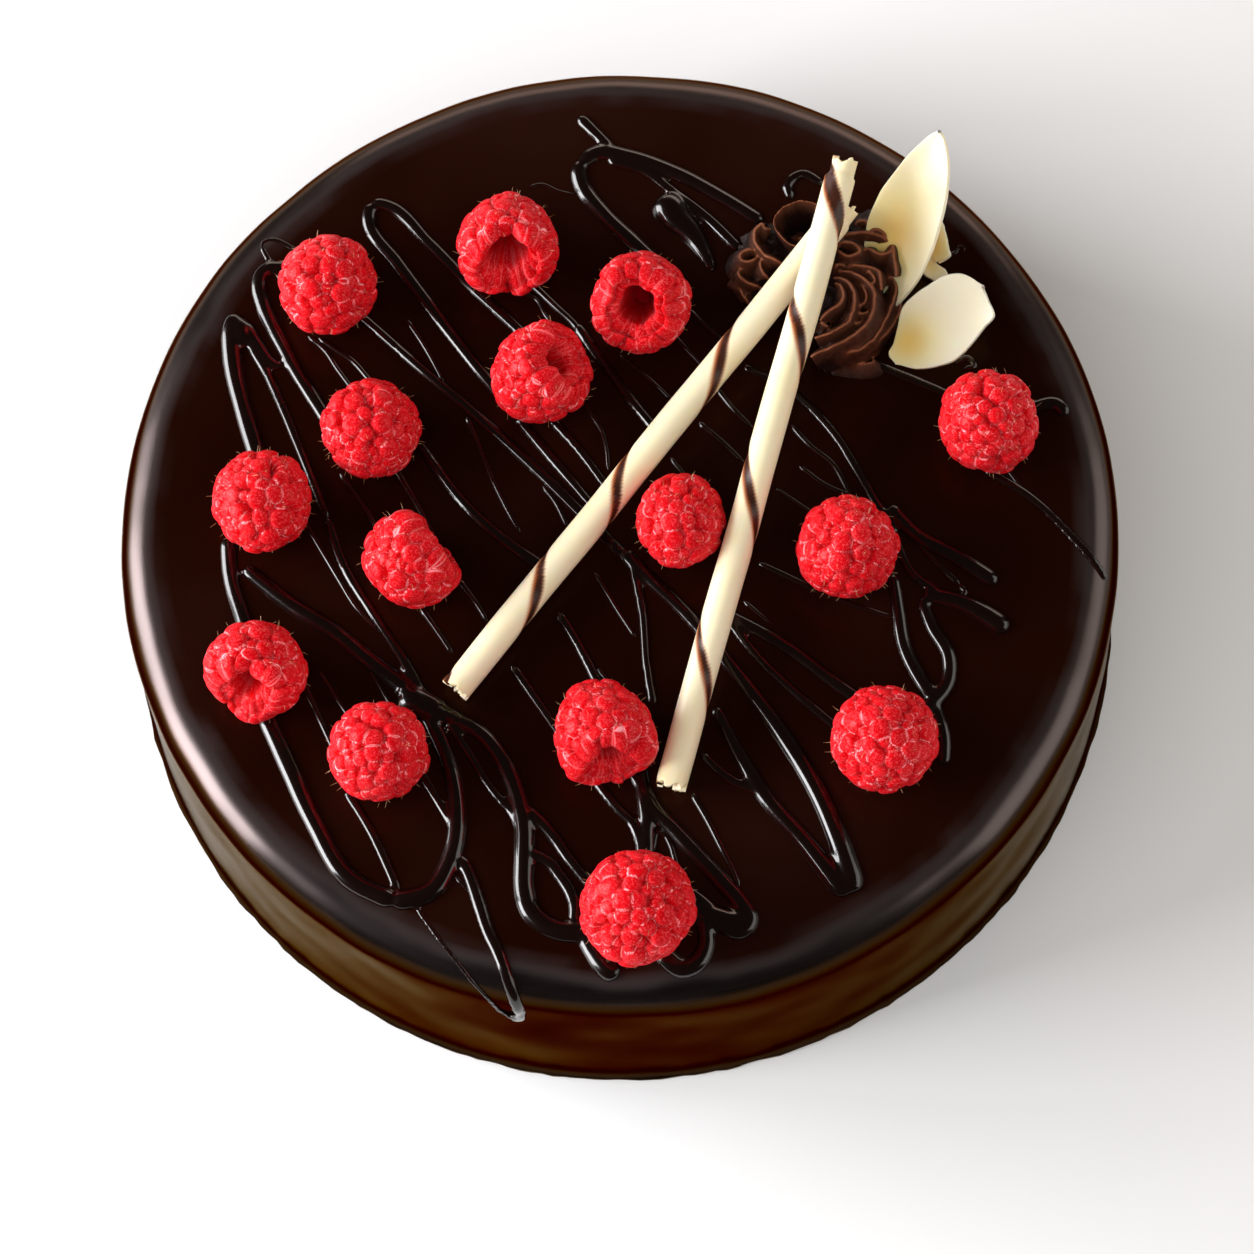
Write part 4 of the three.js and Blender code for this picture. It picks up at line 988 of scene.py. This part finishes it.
def raspberry(number, at, radius, length, tip, mouth, skin, hair_skin, hair):
    """A ball drawn out to the berry's outline, raised into drupelets, leaned over and set in the glaze."""
    draw = np.random.default_rng(400 + number)
    put_all_down()
    bpy.ops.mesh.primitive_ico_sphere_add(subdivisions=BERRY_FINENESS, radius=1)
    berry = bpy.context.object
    ball = corners(berry) * MM
    profile = berry_profile(length, mouth)
    distance = np.arccos(np.clip(ball[:, 2], -1, 1)) / math.pi * profile[2][-1]
    turn = np.arctan2(ball[:, 1], ball[:, 0])
    place, outward, downhill = spun(profile, distance, turn)
    seeds = drupelet_seeds(profile, mouth, radius, draw)
    seed_place, seed_outward, seed_downhill = spun(profile, seeds[:, 0], seeds[:, 1])
    height, over_next, owner = drupelet_domes(place, radius, seeds, seed_place, seed_downhill)
    rim = rim_distance(profile)
    inside = ramp(distance, rim + 0.02, rim + 0.45) if mouth else 0 * distance
    middling_height = 0.85
    rise = (height - middling_height) * (1 - 0.72 * inside)
    lumps = 0.65 * waviness(place * radius, 10, 20 + number)
    points = place * radius + outward * (rise + lumps * (1 - inside))[:, None]
    if mouth:
        near = ramp(distance, rim - 0.7, rim)
        ring = np.column_stack([np.cos(turn), np.sin(turn), 0 * turn])
        points[:, :2] *= (1 + 0.3 * waviness(ring, 0.75, 80 + number) * near)[:, None]
        points[:, 2] += 1.3 * waviness(ring, 0.6, 90 + number) * near
    lean = tilted_to(tip)
    if mouth:
        # The lip is drawn up into an arch where it will face upwards
        _, _, aslant, arch = mouth
        topside = lean.T @ (0, 0, 1)
        aside = (turn - math.atan2(topside[1], topside[0]) + math.pi) % (2 * math.pi) - math.pi
        points[:, 2] += arch * near * np.exp(-((aside / 0.5) ** 2))
    points = points @ lean.T
    if mouth:
        upward = np.array([0, 0, 1]) - unit(tip) * unit(tip)[2]
        points += np.outer(inside * aslant * radius * 0.6, unit(upward))
    foot = np.array([at[0], at[1], CAKE_HEIGHT - BERRY_SINK - points[:, 2].min()])
    move_corners(berry, points + foot)
    # The edge note runs from a drupelet's top to the crease beside it; the skin's colour uses it to paint
    # light into the creases
    note(berry, "edge", 1 - np.clip(over_next / 0.5, 0, 1))
    # The pale outline, partly bloom and partly a painted rim highlight, lies a little way in from a
    # drupelet's edge, and comes and goes along it
    patches = ramp(waviness(place * radius, 2.4, 60 + number), -0.5, 0.0)
    outline = ramp(over_next, 0.07, 0.14) * (1 - ramp(over_next, 0.21, 0.32)) * (0.1 + 0.9 * patches)
    lip = ramp(distance, rim - 0.5, rim - 0.15) if mouth else inside
    note(berry, "outline", outline * (1 - 0.55 * lip) * (1 - 0.5 * inside))
    note(berry, "tone", seeds[owner, 4])
    # Painted shade darkens the skin towards the bottom of the hollow
    deep = ramp(distance, rim + 0.25, profile[2][-1] * 0.93) if mouth else inside
    note(berry, "hollow", deep * 0.85)
    finished(berry, skin)
    hairs = berry_hairs(number, seeds, seed_place, seed_outward, radius, lean, foot, hair, draw)
    hairs.data.materials.append(hair_skin)
    return join([berry, hairs], f"berry_{number:02d}")


def hair_shape():
    """One stiff hair, 1 mm long: a thin cone drawn out almost to a point."""
    put_all_down()
    bpy.ops.mesh.primitive_cone_add(vertices=4, radius1=0.055 * MM, radius2=0.02 * MM, depth=1 * MM)
    hair = bpy.context.object
    open_mesh()
    bpy.ops.transform.translate(value=(0, 0, 0.5 * MM))
    close_mesh()
    return hair


def berry_hairs(number, seeds, seed_place, seed_outward, radius, lean, foot, hair, draw):
    """A copy of the hair on some of the drupelets, each leaning its own way."""
    shape = corners(hair)
    faces = [list(face.vertices) for face in hair.data.polygons]
    points, polygons = [], []
    for place, outward, stretch in zip(seed_place, seed_outward, seeds[:, 2]):
        aside = draw.normal(size=3) * 0.4
        length = draw.uniform(0.8, 1.7)
        bare = draw.random() < 0.6
        inside = stretch < 0.3
        if bare or inside:
            continue
        out = unit(lean @ (outward + aside))
        root = lean @ (place * radius + outward * 0.1) + foot
        if root[2] < CAKE_HEIGHT + 1.5 or root[2] + out[2] * length > HIGHEST_HAIR:
            continue
        first = len(points) * len(shape)
        points.append((shape * (1, 1, length)) @ tilted_to(out).T + root)
        polygons += [[first + corner for corner in face] for face in faces]
    mesh = bpy.data.meshes.new(f"hairs_{number:02d}")
    mesh.from_pydata((np.concatenate(points) * MM).tolist(), [], polygons)
    return shaping_tool(f"hairs_{number:02d}", mesh)


# ---- rolled sticks ----

def stick_line(start, end):
    """Where a stick starts, its directions along, to the side and upwards, and its length."""
    lift = np.array([0, 0, CAKE_HEIGHT])
    first, last = np.array(start) + lift, np.array(end) + lift
    along = unit(last - first)
    side = unit([-along[1], along[0], 0])
    over = np.cross(along, side)
    return first, along, side, over, np.linalg.norm(last - first)


def rolled_stick(name, start, end, seed, stripes, finish):
    """A sheet rolled into a tube: a dark stripe winds round it, and its ends are broken."""
    first, along, side, over, length = stick_line(start, end)
    put_all_down()
    around, rows = 60, 210
    bpy.ops.mesh.primitive_grid_add(x_subdivisions=around, y_subdivisions=rows, size=1)
    stick = bpy.context.object
    flat = corners(stick) * MM
    turn = (flat[:, 0] + 0.5) * 2 * math.pi
    share = flat[:, 1] + 0.5
    travel = share * length
    # How far the stripe has wound round the stick, and how far from its middle each point lies
    wound = np.interp(travel, stripes, np.arange(len(stripes)) * 2 * math.pi)
    sweep = (turn + wound - math.pi / 2 + math.pi) % (2 * math.pi) - math.pi
    gap = np.abs(sweep) * STICK_RADIUS
    swell = waviness(np.column_stack([travel, wound * 2, 0 * travel]), 24, seed)
    half = 0.95 + 0.45 * swell + 0.9 * ramp(travel, length - 30, length - 16)
    recess = 0.22 * (1 - ramp(gap, half - 0.45, half + 0.55)) + 0.5 * ramp(travel, length - 5, length - 4.2)
    ring = np.column_stack([np.cos(turn), np.sin(turn), share * 60])
    reach = STICK_RADIUS - recess + 0.12 * waviness(ring * (5, 5, 1), 7, seed + 1)
    at_end = ramp(np.abs(share - 0.5), 0.46, 0.5)
    # Both ends are broken off into shards, each end in its own way
    ends = ring * (1, 1, 0) + np.column_stack([0 * share, 0 * share, np.round(share) * 7])
    shards = 2.6 * np.abs(waviness(ends, 0.62, seed + 2)) + 1.0 * np.abs(waviness(ends, 0.23, seed + 3))
    jag = np.where(share < 0.5, 1, -1) * (shards + 0.1) * ramp(np.abs(share - 0.5), 0.47, 0.5)
    reach = reach + at_end * 0.35 * waviness(ends, 0.8, seed + 4)
    bow = STICK_WAVER * np.sin(share * 17 + seed)
    middle = first + np.outer(travel + jag, along) + np.outer(bow, side)
    points = middle + np.outer(reach * np.cos(turn), side) + np.outer(reach * np.sin(turn), over)
    move_corners(stick, points)
    note(stick, "stripe", 1 - ramp(gap, half - 0.02, half + 0.22))
    wide_edging = (1 - ramp(gap, half + 0.3, half + 1.4)) * (sweep < 0)
    thin_edging = (1 - ramp(gap, half + 0.2, half + 0.6)) * (sweep >= 0)
    note(stick, "amber", wide_edging + thin_edging * 0.7)
    pick_up(stick)
    open_mesh()
    bpy.ops.mesh.remove_doubles(threshold=0.01 * MM)
    bpy.ops.mesh.normals_make_consistent(inside=False)
    close_mesh()
    thickened(stick, STICK_WALL, -1, 0.22, 2, 55)
    stick.name = name
    return finished(stick, finish, 50)


# ---- piped ganache ----

def fin_section(name, thickness):
    """The cut through a fin 1 tall: broad at its foot, with a narrow crest at the top."""
    half = [(3.4, -1.0), (2.1, -0.55), (0.9, -0.2), (0.4, -0.06), (0.2, -0.015)]
    return section_tool(name, [(thickness * wide, down) for wide, down in half], (0, 0))


def fin_line(crest, tall, lean, route, seed):
    """A fin's crest with slight ups and downs, lower and thinner at both ends."""
    plan = line_through(route, 0.35)
    share = np.linspace(0, 1, len(plan))
    uneven = ripple(plan[:, 0] / 2.6, plan[:, 1] / 2.6, seed)
    fade = np.sqrt(np.clip(np.minimum(share, 1 - share) * 7, 0.04, 1))
    height = CAKE_HEIGHT + crest + 0.35 * uneven - (1 - fade) * 1.3
    wobble = 0.16 * ripple(plan[:, 0] / 1.9, plan[:, 1] / 1.9, seed + 9)
    plan = plan + np.column_stack([wobble, -wobble])
    stands = tall * (0.6 + 0.4 * fade)
    leans = np.full(len(plan), math.radians(lean))
    return stands, leans, np.column_stack([plan, height])


def ganache_mound(at, radius, height):
    """The mass that the fins stand on."""
    put_all_down()
    bpy.ops.mesh.primitive_uv_sphere_add(
        segments=96, ring_count=48, radius=1, location=(at[0] * MM, at[1] * MM, (CAKE_HEIGHT - 1) * MM),
        scale=(radius * MM, radius * MM, (height + 1) * MM),
    )
    mound = bpy.context.object
    settle(mound)
    open_mesh()
    cut = (0, 0, (CAKE_HEIGHT - 0.6) * MM)
    bpy.ops.mesh.bisect(plane_co=cut, plane_no=(0, 0, 1), use_fill=True, clear_inner=True)
    close_mesh()
    points = corners(mound)
    middle = np.array([at[0], at[1], CAKE_HEIGHT])
    lumps = 0.8 * waviness(points, 3.2, 31) + 0.3 * waviness(points, 1.2, 32)
    away = points - middle
    points += away / np.maximum(np.linalg.norm(away, axis=1), 1)[:, None] * lumps[:, None]
    move_corners(mound, points)
    return mound


def piped_rosette(name, mounds, fins, walls, fineness, finish):
    """Mounds with fins on them and steep thin walls, melted into one skin with a fine grit."""
    pieces = [ganache_mound(*mound) for mound in mounds]
    lines = []
    for kind, forms, thickness, seed in (("fins", fins, 0.14, 3), ("walls", walls, 0.035, 40)):
        if forms:
            tool = fin_section(f"{kind}_section", thickness)
            piped = [fin_line(*form, seed + i) for i, form in enumerate(forms)]
            pieces.append(poured_lines(kind, piped, tool))
            lines += piped
            put_away(tool)
    rosette = join(pieces, name)
    melted(rosette, fineness, 0.5, 2)
    crests = np.concatenate([places for _, _, places in lines])
    tree = kdtree.KDTree(len(crests))
    for i, place in enumerate(crests):
        tree.insert(place, i)
    tree.balance()
    points = corners(rosette)
    away = np.array([tree.find(point)[2] for point in points])
    # How near each point lies to a crest, for the finish's painted crest highlight and painted valley shade
    note(rosette, "crest", 1 - np.clip((away - 0.25) / 3.6, 0, 1))
    grit = 0.07 * waviness(points, 0.9, 50) + 0.05 * waviness(points, 0.45, 51)
    normals = np.empty(len(points) * 3)
    rosette.data.vertices.foreach_get("normal", normals)
    move_corners(rosette, points + normals.reshape(-1, 3) * grit[:, None])
    return finished(rosette, finish)


# ---- petals ----

def moulded_petal(name, base, tip, inside, cup, bow, left, right, shade_patch, finish):
    """A sheet of chocolate cut to a petal, cupped across and bowed along, then given its thickness."""
    lift = np.array([0, 0, CAKE_HEIGHT])
    start, end = np.array(base) + lift, np.array(tip) + lift
    along = unit(end - start)
    face = np.array(inside, float)
    face = unit(face - along * (face @ along))
    across = np.cross(face, along)
    length = np.linalg.norm(end - start)
    put_all_down()
    bpy.ops.mesh.primitive_grid_add(x_subdivisions=30, y_subdivisions=90, size=1)
    petal = bpy.context.object
    flat = corners(petal) * MM
    v = flat[:, 0] * 2  # -1 at the right edge, 1 at the left one
    u = np.sin((flat[:, 1] + 0.5) * math.pi / 2) ** 1.2  # 0 at the base, 1 at the tip
    sides = []
    for side in (left, right):
        share, out = (line_through(np.array(side) * (length, 1), 0.25) / (length, 1)).T
        sides.append(np.interp(u, np.maximum.accumulate(share), np.maximum(out, 0)))
    width = max(sides[0].max(), sides[1].max())
    reach = np.where(v > 0, sides[0], sides[1]) * v
    reach = reach + 0.12 * ripple(u * 9, v, width) * np.abs(v)
    sink = cup * ((reach / width) ** 2 - 0.25) - bow * np.sin(math.pi * u)
    sink = sink + 0.25 * ripple(u * 2.5, v, width)
    points = start + np.outer(length * u, along) + np.outer(reach, across) + np.outer(sink, face)
    move_corners(petal, points)
    # The golden patch is painted shade and warm bounce light, strongest at its middle
    middle, aside, spread, spread_aside = shade_patch
    off_along = (u - middle) / spread
    off_across = (reach / width - aside) / spread_aside
    note(petal, "painted_golden_shade", np.exp(-(off_along**2) - off_across**2))
    thickened(petal, PETAL_THICKNESS, 0, 0.35, 3, 50)
    petal.name = name
    return finished(petal, finish, 50)


# ---- studio ----

def soft_light(name, place, wide, high, radiance, colour=(1, 1, 1)):
    """A soft box turned towards the cake's top, as bright to look at as its radiance says."""
    light = bpy.data.lights.new(name, "AREA")
    light.shape = "RECTANGLE"
    light.size = wide
    light.size_y = high
    light.energy = radiance * math.pi * wide * high
    light.color = colour
    lamp = bpy.data.objects.new(name, light)
    towards = Vector((0, 0, CAKE_HEIGHT * MM)) - Vector(place)
    lamp.matrix_world = Matrix.Translation(place) @ towards.to_track_quat("-Z", "Y").to_matrix().to_4x4()
    bpy.context.scene.collection.objects.link(lamp)
    return lamp


def studio(floor_skin):
    put_all_down()
    bpy.ops.mesh.primitive_plane_add(size=6)
    floor = bpy.context.object
    floor.name = "floor"
    floor.data.materials.append(floor_skin)
    soft_light("left_strip", (-1.28, 0.36, 0.5), 0.55, 0.98, 11.5, COOL_WHITE)
    soft_light("left_panel", (-1.36, -0.24, 0.5), 0.55, 0.98, 14.5, COOL_WHITE)
    soft_light("right_side", (1.4, -0.1, 0.75), 1.8, 1.2, 1.5, (1.0, 0.96, 0.9))
    fill = soft_light("front_high", (-0.35, -0.9, 1.7), 2.4, 1.3, 1.9)
    fill.visible_glossy = False
    soft_light("back_low", (0.3, 1.7, 0.5), 2.0, 0.6, 2.2, (1.0, 0.8, 0.68))
    world = bpy.data.worlds.new("studio")
    world.use_nodes = True
    surroundings = world.node_tree.nodes["Background"].inputs
    surroundings["Color"].default_value = (1.0, 0.8, 0.65, 1)
    surroundings["Strength"].default_value = 0.04
    bpy.context.scene.world = world


def photo_camera():
    camera = bpy.data.cameras.new("camera")
    camera.lens = CAMERA_LENS
    camera.sensor_width = SENSOR
    holder = bpy.data.objects.new("camera", camera)
    down, roll = math.radians(CAMERA_DOWN), math.radians(CAMERA_ROLL)
    forward = Vector((0, math.cos(down), -math.sin(down)))
    right = Vector((1, 0, 0))
    up = right.cross(forward)
    turned_right = math.cos(roll) * right + math.sin(roll) * up
    turned_up = -math.sin(roll) * right + math.cos(roll) * up
    turned = Matrix((turned_right, turned_up, -forward)).transposed().to_4x4()
    holder.matrix_world = Matrix.Translation(Vector(CAMERA_PLACE) * MM) @ turned
    bpy.context.scene.collection.objects.link(holder)
    bpy.context.scene.camera = holder


# ---- putting it together ----

def serve(piece, slot, *nodes):
    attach(piece, "root")
    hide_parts(*nodes)


def main():
    bpy.context.scene.view_settings.view_transform = "Standard"
    studio(floor_finish())
    photo_camera()

    serve(glazed_cake(glaze_finish()), "glaze", "cake")
    section = drizzle_section()
    chocolate = drizzle_finish()
    on_left = [stroke for stroke in STROKES if max(place[0] for place in stroke[2]) < MIDDLE]
    on_right = [stroke for stroke in STROKES if stroke not in on_left]
    serve(thick_drizzle("drizzle_left", on_left, section, chocolate), "glaze", "cake")
    serve(thick_drizzle("drizzle_right", on_right, section, chocolate), "glaze", "cake")
    serve(fine_drizzle(section, chocolate), "glaze", "cake")
    put_away(section)

    skin, hair_skin, hair = raspberry_finish(), hair_finish(), hair_shape()
    for number, form in enumerate(BERRIES, 1):
        berry = raspberry(number, *form, skin, hair_skin, hair)
        serve(berry, "raspberry", f"raspberry_{number:02d}")
    put_away(hair)

    rolled = stick_finish()
    for node, (start, end, seed, stripes) in STICKS.items():
        stick = rolled_stick(f"rolled_{node}", start, end, seed, stripes, rolled)
        serve(stick, "white_chocolate", node)

    ganache = ganache_finish()
    left = piped_rosette("piped_rosette_left", LEFT_MOUNDS, LEFT_FINS, [CUP], LEFT_FINENESS, ganache)
    serve(left, "piped_ganache", "rosette_left")
    right = piped_rosette("piped_rosette_right", RIGHT_MOUNDS, RIGHT_FINS, [], RIGHT_FINENESS, ganache)
    serve(right, "piped_ganache", "rosette_right")

    moulded = petal_finish()
    for node, form in PETALS.items():
        serve(moulded_petal(f"moulded_{node}", *form, moulded), "white_chocolate", node)


main()
